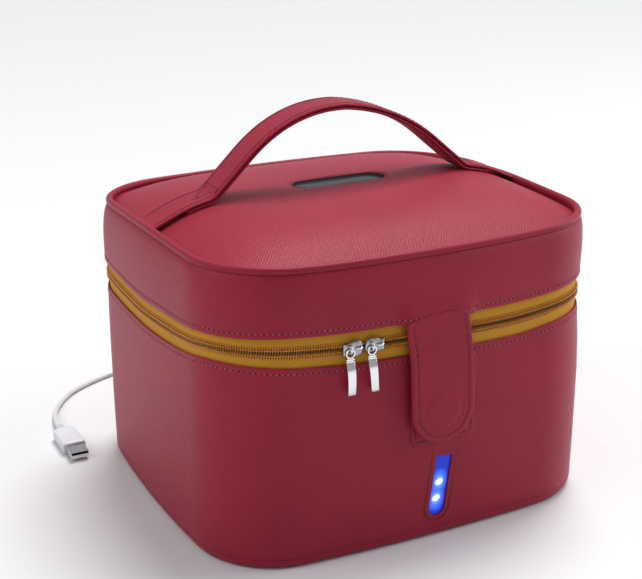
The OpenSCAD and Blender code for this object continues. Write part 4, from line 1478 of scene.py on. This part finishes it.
PLATE = [(-5.9, 0), (-5.5, 2.3), (-4.2, 4.0), (-1.8, 4.75), (0.9, 4.3), (2.9, 3.35), (4.5, 3.1), (5.8, 3.5),
         (5.95, 2.4), (5.95, -2.4), (5.8, -3.5), (4.5, -3.1), (2.9, -3.35), (0.9, -4.3), (-1.8, -4.75),
             (-4.2, -4.0), (-5.5, -2.3)]
BACK = [(-5.6, 0), (-5.0, 2.4), (-3, 3.7), (1, 3.4), (5.7, 2.3), (5.7, -2.3), (1, -3.4), (-3, -3.7),
    (-5.0, -2.4)]
PIN = (-2.4, 3.35, 0.5)


def slider_mesh(name, at_x, turn, flip):
    bm = bmesh.new()
    place = lambda x, out, z: slider_place(at_x, turn, x * flip, out, z)
    pin = lambda x, out, z: slider_place(at_x, turn, x, out, z)
    for outline, steps in ((PLATE, [(0.5, 1.15), (0, 1.3), (0, 1.95), (0.3, 2.3), (0.9, 2.45), (2.0, 2.6),
        (3.6, 2.68)]),
                           (BACK, [(0.3, -3.5), (0, -3.3), (0, -2.8), (0.4, -2.65)])):
        line = smoothed(outline, 3)
        rows = []
        for inset, out in steps:
            rows.append([place(x * (1 - inset / 5.9), out, z * (1 - inset / 4.7)) for x, z in line])
        verts = grid_mesh(bm, rows, lambda row, column: (row * MM, column * MM), closed_columns=True)
        bm.faces.new(verts[0][::-1])
        bm.faces.new(verts[-1])
    loft(bm, [(place(0, out, 0), place(1.6, 0, 0) - place(0, 0, 0), Vector((0, 0, 0.3 * MM))) for out in (-2.8,
        1.4)], 12)
    # The plate, back and bridge take the darker nickel: painted dark reflection.
    for face in bm.faces:
        face.material_index = 1
    arch = []
    for k in range(13):
        a = math.radians(-100 + 200 * k / 12)
        out, z = PIN[1] + 2.25 * math.cos(a), PIN[2] + 2.25 * math.sin(a)
        middle = pin(PIN[0], out, z)
        arch.append((middle, pin(PIN[0] + 0.62, out, z) - middle,
            pin(PIN[0], out + 0.55 * math.cos(a), z + 0.55 * math.sin(a)) - middle))
    loft(bm, arch, 12, 2.6)
    bar = [(1.0, 2.4, 0.2, 0.5), (1.2, 2.9, 0.55, 1.0), (2.0, 3.2, 0.75, 1.15), (3.2, 3.3, 0.85, 1.1),
        (4.4, 3.1, 0.8, 1.0), (5.3, 2.7, 0.7, 0.8), (5.7, 2.3, 0.4, 0.4)]
    rows = []
    for x, out, tall, deep in bar:
        middle = pin(x, out, PIN[2])
        rows.append((middle, Vector((0, 0, tall * MM)), pin(x, out + deep, PIN[2]) - middle))
    loft(bm, rows, 12, 2.5)
    return finish_mesh(name, bm, 50)


def pull_mesh(name, at_x, turn, lean):
    """lean is how far the blade's foot hangs to the right, in millimetres."""
    bm = bmesh.new()
    place = lambda x, out, z: slider_place(at_x, turn, PIN[0] + x, PIN[1] + out, PIN[2] + z)
    ring = []
    for k in range(28):
        a = 2 * math.pi * k / 28
        x, z = 2.45 * math.sin(a), -2.4 + 2.45 * math.cos(a)
        middle = place(x, 0, z)
        ring.append((middle, place(x + 0.5 * math.sin(a), 0, z + 0.5 * math.cos(a)) - middle,
            place(x, 0.6, z) - middle))
    loft(bm, ring, 10, 2.6, closed=True)

    def slab_at(parts, power):
        rows = []
        for x, out, z, wide, thick in parts:
            middle = place(x, out, z)
            rows.append((middle, place(x + wide, out, z) - middle, place(x, out + thick, z) - middle))
        loft(bm, rows, 28, power)

    slab_at([(0, 0, -4.7, 1.7, 0.5), (0, 0, -7.4, 2.0, 0.5)], 4)
    for z in (-5.75, -7.0):
        slab_at([(0, 0, z + 0.45, 2.2, 0.6), (0, 0, z + 0.3, 2.6, 0.85), (0, 0, z - 0.3, 2.6, 0.85),
            (0, 0, z - 0.45, 2.2, 0.6)], 5)
    blade = []
    for k in range(15):
        t = k / 14
        blade.append((lean * t * t, 2.1 * math.sin(math.pi * t**0.8), -7.3 - 19.9 * t, 2.5 - 0.2 * t, 0.55))
    slab_at(blade + [(lean, -0.05, -27.4, 2.1, 0.4), (lean, -0.08, -27.5, 1.9, 0.25)], 7)
    return finish_mesh(name, bm, 35)


for side, at_x, turn, flip, lean in (("left", -53, -3.73, -1, 1.1), ("right", -40, -1.95, 1, 2.3)):
    for part, mesh in (("slider", slider_mesh(f"slider_{side}_body", at_x, turn, flip)),
        ("pull", pull_mesh(f"pull_{side}_casting", at_x, turn, lean))):
        piece = add_piece(mesh.name, mesh, nickel.material, painted_dark_nickel.material)
        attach(piece, f"{part}_{side}")
        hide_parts(f"{part}_{side}")
        print(mesh.name, len(mesh.polygons), "faces")

# %% [markdown]
# ## Windows
# The light window shows two lamps behind a blue diffuser. The glow is worked out from the distance to
# each lamp: white at its middle, pale blue round it, and deep blue further off.

# %% Light window lens
glow = Finish("blue_diffuser", (0.004, 0.01, 0.08), 0.3)
SPOTS = [(6.15, 35.5), (4.4, 25.2)]
flat = glow.coordinates("Object")
nearest = None
halo = None
for x, z in SPOTS:
    for stretch, kind in ((1.0, "spot"), (0.42, "halo")):
        shift = glow.node("Mapping")
        shift.vector_type = "TEXTURE"
        shift.inputs["Location"].default_value = (x * MM, -FRONT_Y, z * MM)
        shift.inputs["Rotation"].default_value = (0, math.radians(-18 if kind == "spot" else 7), 0)
        shift.inputs["Scale"].default_value = (2.55 * MM, 1.0, 1.85 * MM) if kind == "spot" else (6.4 * MM, 1.0,
            9.5 * MM)
        glow.link(flat, shift.inputs["Vector"])
        length = glow.node("VectorMath", operation="LENGTH")
        glow.link(shift.outputs["Vector"], length.inputs[0])
        distance = length.outputs["Value"]
        if kind == "spot":
            nearest = distance if nearest is None else glow.maths("MINIMUM", nearest, distance)
        else:
            halo = distance if halo is None else glow.maths("MINIMUM", halo, distance)
core = glow.ramp(glow.maths("MULTIPLY", nearest, 0.5), [(0.38, (1.0, 1.0, 1.0)), (0.62, (0.0, 0.0, 0.0))])
around = glow.ramp(halo, [(0.12, (0.28, 0.55, 1.0)), (0.5, (0.08, 0.22, 0.95)), (0.85, (0.025, 0.075, 0.80)),
    (1.0, (0.012, 0.035, 0.52))])
both = glow.node("MixRGB", blend_type="ADD")
both.inputs["Fac"].default_value = 1.0
glow.link(around, both.inputs["Color1"])
glow.link(core, both.inputs["Color2"])
glow.link(both.outputs["Color"], glow.shader.inputs["Emission Color"])
glow.set("Emission Strength", 1.0)
glow.set("Specular IOR Level", 0.2)
glow.bump(glow.noise(glow.coordinates(), 1.5 * MM), 0.03 * MM)

bm = bmesh.new()
base_outline = filled(light_outline(-0.05 * MM) + light_outline(-0.05 * MM)[:1], 3 * MM)[:-1]
centre_x, centre_z = sum(p[0] for p in base_outline) / len(base_outline), sum(p[1] for p in base_outline) / len(base_outline)
rows = []
for inset, out in ((0, -3.4), (0, -1.2), (0.25, -0.85), (1.0, -0.65), (2.5, -0.55)):
    row = []
    for x, z in base_outline:
        row.append(front_point(x + (centre_x - x) * inset / 5.3, z + (centre_z - z) * inset / 22, out * MM))
    rows.append(row)
verts = grid_mesh(bm, rows, lambda row, column: (row * MM, column * MM), closed_columns=True)
bm.faces.new(verts[0][::-1])
bm.faces.new(verts[-1])
lens = add_piece("light_window_lens", finish_mesh("light_window_lens", bm, 50), glow.material)
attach(lens, "base")
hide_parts("light_lens")

# %% [markdown]
# The control window is a smoked plate, sunk a little below the crown's cut edge.

# %% Control window
smoked = Finish("smoked_window", (0.03, 0.035, 0.037), 0.2)
smoked.colour(smoked.noise(smoked.coordinates(), 30 * MM),
    [(0.3, (0.024, 0.031, 0.034)), (0.7, (0.034, 0.043, 0.046))])
smoked.roughness(smoked.noise(smoked.coordinates(), 6 * MM), 0.12, 0.2)
bm = bmesh.new()
rows = []
for inset, down in ((0.4, 3.9), (0, 3.7), (0, 2.7), (0.3, 2.45), (1.2, 2.4), (4.0, 2.4)):
    row = []
    for k in range(96):
        p = stadium_point(2 * math.pi * (k + 0.5) / 96, WINDOW_HALF + (0.4 - inset) * MM,
            WINDOW_END + (0.4 - inset) * MM)
        row.append(Vector((p.x, p.y, crown_height(p.x, 0) - down * MM)))
    rows.append(row)
verts = grid_mesh(bm, rows, lambda row, column: (row * MM, column * MM), closed_columns=True)
bm.faces.new(verts[0][::-1])
bm.faces.new(verts[-1])
smoke = add_piece("smoked_plate", finish_mesh("smoked_plate", bm, 40), smoked.material)
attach(smoke, "lid")
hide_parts("control_window")

# %% [markdown]
# ## Linings
# The inside is lined with padded silver cloth, which throws the lamp's light about. Base and lid have
# a basin each, with soft corners. The base's basin swells where it covers the light window's box and
# the power socket's box.

# %% Lining cloth
foil = Finish("silver_lining", (0.60, 0.61, 0.63), 0.32, 0.75)
lattice_a = foil.wave(foil.coordinates("UV", 45), 22 * MM)
lattice_b = foil.wave(foil.coordinates("UV", -45), 22 * MM)
seams = foil.maths("MAXIMUM", foil.maths("POWER", lattice_a, 24), foil.maths("POWER", lattice_b, 24))
crinkle = foil.noise(foil.coordinates("UV"), 7 * MM)
weave_in = foil.wave(foil.coordinates("UV"), 0.9 * MM)
foil.colour(seams, [(0.0, (0.62, 0.63, 0.65)), (0.8, (0.40, 0.41, 0.43))])
foil.roughness(crinkle, 0.26, 0.44)
foil.bump(foil.maths("MULTIPLY", seams, -1), 1.0 * MM, 0.8)
foil.bump(crinkle, 0.9 * MM, 0.5)
foil.bump(weave_in, 0.05 * MM, 0.5)


def swell(place, box, depth):
    """How far the lining stands in over a box in the wall."""
    low, high = box
    across = ease((place.x - low.x + 5 * MM) / (5 * MM)) * ease((high.x + 5 * MM - place.x) / (5 * MM))
    height = ease((place.z - low.z + 5 * MM) / (5 * MM)) * ease((high.z + 5 * MM - place.z) / (5 * MM))
    return depth * across * height if place.y * (low.y + high.y) > 0 else 0.0


def basin_mesh(side, rings, height_at, swells=()):
    """side is (outset, z) in millimetres down the wall; rings is a list of shares towards the middle."""
    bm = bmesh.new()
    rows = []
    for outset, z in side:
        row = []
        for station in STATIONS:
            p = wall_point(station, outset * MM, z * MM)
            depth = sum(swell(p, box, amount) for box, amount in swells) if outset < -4 else 0.0
            row.append(wall_point(station, outset * MM - depth, z * MM))
        rows.append(row)
    edge = rows[-1]
    for share in rings:
        rows.append([Vector((p.x * (1 - share), p.y * (1 - share),
            height_at(p.x * (1 - share), p.y * (1 - share), share, p.z))) for p in edge])

    def uv(row, column):
        p = rows[row][column % len(STATIONS)]
        if row < len(side):
            travelled = STATIONS[column][3] if column < len(STATIONS) else GIRTH
            return travelled, p.z
        return p.x, p.y

    verts = grid_mesh(bm, rows, uv, closed_columns=True)
    bm.faces.new(verts[-1])
    return bm


floor_at = 5.5 * MM
base_side = [(-2.7, 108), (-2.7, 118.6), (-3.0, 119.4), (-4.2, 119.7), (-5.2, 119.2), (-5.5, 117.5),
    (-5.5, 108)]
base_side += [(-5.5, z) for z in (96, 84, 72, 64, 58, 52, 45, 38, 31, 24, 17)] + [(-5.7, 12), (-7, 8.4),
    (-9.5, 6.6), (-13, 5.8)]
bm = basin_mesh(base_side, [k / 14 for k in range(1, 14)],
    lambda x, y, share, z: floor_at + 0.2 * MM,
        ((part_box("light_housing"), 5.5 * MM), (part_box("power_housing"), 7.5 * MM)))
base_lining = add_piece("base_lining", finish_mesh("base_lining", bm, 60), foil.material)
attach(base_lining, "base")
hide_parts("base_liner")

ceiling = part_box("lamp_housing")[1][2]
lid_side = [(-1.4, lid_mm + 3.6), (-2.6, lid_mm + 3.2), (-3.6, lid_mm + 3.6), (-3.9, lid_mm + 5), (-3.9, 152),
    (-3.9, 160), (-4.0, 166), (-4.6, 170), (-6.2, 172), (-9.0, 173)]
sag = lambda x, y, share, z: z + (ceiling - z) * ease(share / 0.35)
bm = basin_mesh(lid_side, [k / 14 for k in range(1, 14)], sag)
lid_lining = add_piece("lid_lining", finish_mesh("lid_lining", bm, 60), foil.material)
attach(lid_lining, "lid")
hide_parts("lid_liner")
for piece in (base_lining, lid_lining):
    modifier = piece.modifiers.new("thickness", "SOLIDIFY")
    modifier.thickness = 0.7 * MM
    modifier.offset = -1
    apply_modifiers(piece)
    print(piece.name, len(piece.data.polygons), "faces")

# %% [markdown]
# ## Plugs, tie
# The lead's plugs are soft white mouldings with rings at the cord's end that let it bend. A black
# hook-and-loop band holds the wound part.

# %% Plugs
moulding = Finish("white_moulding", (0.76, 0.77, 0.80), 0.35)
moulding.colour(moulding.noise(moulding.coordinates(), 14 * MM),
    [(0.3, (0.72, 0.73, 0.76)), (0.7, (0.80, 0.81, 0.84))])
moulding.bump(moulding.noise(moulding.coordinates(), 0.5 * MM), 0.03 * MM)


def plug_mesh(name, x, z, sections):
    """sections are (y, half width, half height, squareness) in millimetres."""
    bm = bmesh.new()
    loft(bm, [(Vector((x, y * MM, z)), Vector((wide * MM, 0, 0)), Vector((0, 0, tall * MM)), square) for y,
        wide, tall, square in sections], 32)
    return finish_mesh(name, bm, 45)


def relief(start, step, radius):
    """Bending rings along Y, thicker towards the body."""
    parts = []
    for k in range(5):
        y, r = start + step * k * 1.7, radius + 0.2 * k
        parts += [(y, r - 0.35, r - 0.35, 2), (y + step * 0.3, r, r, 2), (y + step * 1.0, r + 0.1, r + 0.1, 2),
            (y + step * 1.3, r - 0.25, r - 0.25, 2)]
    return parts


usb_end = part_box("usb_plug")[1][1] / MM
usb = relief(usb_end, -1, 2.35)
usb += [(usb_end - 8.8, 4.0, 3.2, 2.4), (usb_end - 9.6, 6.0, 3.7, 3), (usb_end - 11.5, 7.4, 4.05, 4),
    (usb_end - 14, 7.85, 4.15, 5),
        (usb_end - 18, 7.6, 4.0, 5), (usb_end - 26, 7.7, 4.1, 5), (usb_end - 34, 7.9, 4.2, 5),
            (usb_end - 36.4, 7.8, 4.1, 5), (usb_end - 37, 7.2, 3.6, 5)]
plug = add_piece("usb_plug_moulding", plug_mesh("usb_plug_moulding", -154 * MM, 4.2 * MM, usb),
    moulding.material)
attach(plug, "base")
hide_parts("usb_plug")
end = plug_end / MM
inlet = relief(end, -1, 2.3)
inlet += [(end - 8.2, 3.2, 2.7, 2.4), (end - 9.2, 4.6, 3.0, 3), (end - 11, 5.3, 3.15, 4),
    (end - 15, 5.5, 3.2, 5), (end - 22.6, 5.5, 3.2, 5), (end - 23.3, 5.1, 2.8, 5),
          (end - 23.4, 4.0, 1.2, 5), (end - 30, 4.0, 1.2, 5)]
inlet_plug = add_piece("inlet_plug_moulding", plug_mesh("inlet_plug_moulding", 40 * MM, 26 * MM, inlet),
    moulding.material)
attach(inlet_plug, "base")
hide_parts("lead_plug")

# %% Cable tie
hook_loop = Finish("hook_and_loop", (0.016, 0.016, 0.018), 0.85)
hook_loop.bump(hook_loop.noise(hook_loop.coordinates(), 0.5 * MM), 0.3 * MM)
hook_loop.colour(hook_loop.noise(hook_loop.coordinates(), 0.7 * MM),
    [(0.3, (0.008, 0.008, 0.009)), (0.7, (0.035, 0.035, 0.038))])
bm = bmesh.new()
band = []
for k in range(25):
    a = math.pi * k / 24
    c, s = math.cos(a), math.sin(a)
    out = Vector((c, 0, s)).normalized()
    x, z = 5.85 * math.copysign(abs(c) ** 0.55, c), 0.3 + 7.1 * abs(s) ** 0.55
    band.append((Vector((x * MM, COIL_Y, z * MM)), out * 0.45 * MM, Vector((0, 4 * MM, 0)), 6))
loft(bm, band, 16)
tie = add_piece("cable_tie_band", finish_mesh("cable_tie_band", bm, 50), hook_loop.material)
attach(tie, "base")
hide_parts("lead_tie")

# %% [markdown]
# ## Inner solids
# The boxes, boards, lamps and magnets inside stay as the frame's own solids. Each slot gets a
# procedural finish.

# %% Finishes of the inner solids
def plain_finish(name, colour, roughness, size, depth, metallic=0.0, spread=0.12, **more):
    """A finish with a mottled colour, an uneven gloss and a fine grain."""
    made = Finish(name, colour, roughness, metallic)
    mottle = made.noise(made.coordinates(), size)
    made.colour(mottle, [(0.3, shade(colour, 1 - spread)), (0.7, shade(colour, 1 + spread))])
    made.roughness(made.noise(made.coordinates(), size / 3), max(roughness - 0.07, 0.03), roughness + 0.08)
    made.bump(made.noise(made.coordinates(), size / 8), depth)
    for key, value in more.items():
        made.set(key.replace("_", " ").title(), value)
    return made.material


board_finish = plain_finish("grey_board", (0.11, 0.10, 0.095), 0.85, 6 * MM, 0.15 * MM)
white_finish = plain_finish("white_plastic", (0.74, 0.75, 0.76), 0.38, 20 * MM, 0.02 * MM, spread=0.04)
black_finish = plain_finish("black_plastic", (0.016, 0.017, 0.018), 0.4, 12 * MM, 0.02 * MM)
circuit_finish = plain_finish("circuit_board", (0.012, 0.13, 0.05), 0.35, 3 * MM, 0.06 * MM, spread=0.35)
aluminium_finish = plain_finish("aluminium_board", (0.72, 0.73, 0.74), 0.36, 9 * MM, 0.01 * MM, 0.9, 0.05)
magnet_finish = plain_finish("magnet_nickel", (0.55, 0.54, 0.52), 0.3, 5 * MM, 0.01 * MM, 1.0, 0.08)
steel_finish = plain_finish("bright_steel", (0.62, 0.62, 0.62), 0.24, 5 * MM, 0.008 * MM, 1.0, 0.06)
ribbon_finish = plain_finish("ribbon_wire", (0.66, 0.66, 0.64), 0.5, 4 * MM, 0.05 * MM)
quartz_finish = plain_finish("quartz_glass", (0.80, 0.88, 0.95), 0.08, 30 * MM, 0.005 * MM, spread=0.03,
    transmission_weight=0.85)
blue_led = plain_finish("led_blue", (0.55, 0.7, 0.95), 0.2, 2 * MM, 0.01 * MM, spread=0.08)
violet_led = plain_finish("led_violet", (0.72, 0.66, 0.4), 0.2, 1.5 * MM, 0.01 * MM, spread=0.2)
DRESSED = {
    board_finish: ("base_stiffener", "base_floor_board", "lid_stiffener"),
    white_finish: ("light_housing", "power_housing", "lamp_housing", "closing_sensor"),
    black_finish: ("control_housing",),
    circuit_finish: ("light_board", "power_board", "control_board"),
    aluminium_finish: ("lamp_board",),
    magnet_finish: ("patch_magnet", "closing_magnet", "tab_magnet"),
    steel_finish: ("power_socket", "usb_shell"),
    ribbon_finish: ("ribbon_lower", "ribbon_upper"),
    quartz_finish: ("lamp_cover",),
    blue_led: ("light_leds",),
    violet_led: ("lamp_leds",),
}
for material, nodes in DRESSED.items():
    for node in nodes:
        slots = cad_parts[node].material_slots
        for place in slots:
            place.material = material
        print(f"{material.name:16} {node}")

# %% [markdown]
# ## Floor and light
# The case stands on a wide pale floor under large soft lamps. The floor is pale where it is seen
# or mirrored, and throws less light back onto the case.

# %% Floor and lamps
bm = bmesh.new()
bmesh.ops.create_grid(bm, x_segments=1, y_segments=1, size=8.0)
floor_mesh = bpy.data.meshes.new("floor")
bm.to_mesh(floor_mesh)
bm.free()
pale_floor = Finish("pale_floor", (0.80, 0.80, 0.80), 0.8)
rays = pale_floor.node("LightPath").outputs
seen = pale_floor.maths("MAXIMUM", rays["Is Camera Ray"],
    pale_floor.maths("MAXIMUM", rays["Is Glossy Ray"], rays["Is Transmission Ray"]))
pale_floor.colour(seen, [(0.0, (0.52, 0.52, 0.52)), (1.0, (0.80, 0.80, 0.80))])
floor = add_piece("floor", floor_mesh, pale_floor.material)
floor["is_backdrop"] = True

world = bpy.data.worlds.new("studio") if not bpy.context.scene.world else bpy.context.scene.world
bpy.context.scene.world = world
world.use_nodes = True
world.node_tree.nodes["Background"].inputs["Color"].default_value = (0.93, 0.95, 1.0, 1)
world.node_tree.nodes["Background"].inputs["Strength"].default_value = 0.40


def soft_lamp(name, place, aim, size, power):
    light = bpy.data.lights.new(name, "AREA")
    light.size = size
    light.energy = power
    lamp = bpy.data.objects.new(name, light)
    bpy.context.scene.collection.objects.link(lamp)
    lamp.location = place
    lamp.rotation_euler = (Vector(aim) - Vector(place)).to_track_quat("-Z", "Y").to_euler()
    return lamp


sun_data = bpy.data.lights.new("sun", "SUN")
sun_data.energy = 2.3
sun_data.angle = math.radians(28)
sun = bpy.data.objects.new("sun", sun_data)
bpy.context.scene.collection.objects.link(sun)
sun.rotation_euler = (Vector((0, 0, 0)) - Vector((0.45, 0.42, 1.3))).to_track_quat("-Z", "Y").to_euler()
soft_lamp("left_lamp", (-1.5, 0.1, 1.2), (0, 0, 0.15), 1.0, 9)
soft_lamp("right_lamp", (1.6, -0.5, 0.8), (0, 0, 0.12), 1.0, 13)

scene = bpy.context.scene
scene.view_settings.view_transform = "Standard"

# %% Sizes and the end
visual_box = [list(corner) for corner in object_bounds()]
for name, corners in (("frame", cad_box), ("dressed", visual_box)):
    print(name, [[round(v, 4) for v in corner] for corner in corners])
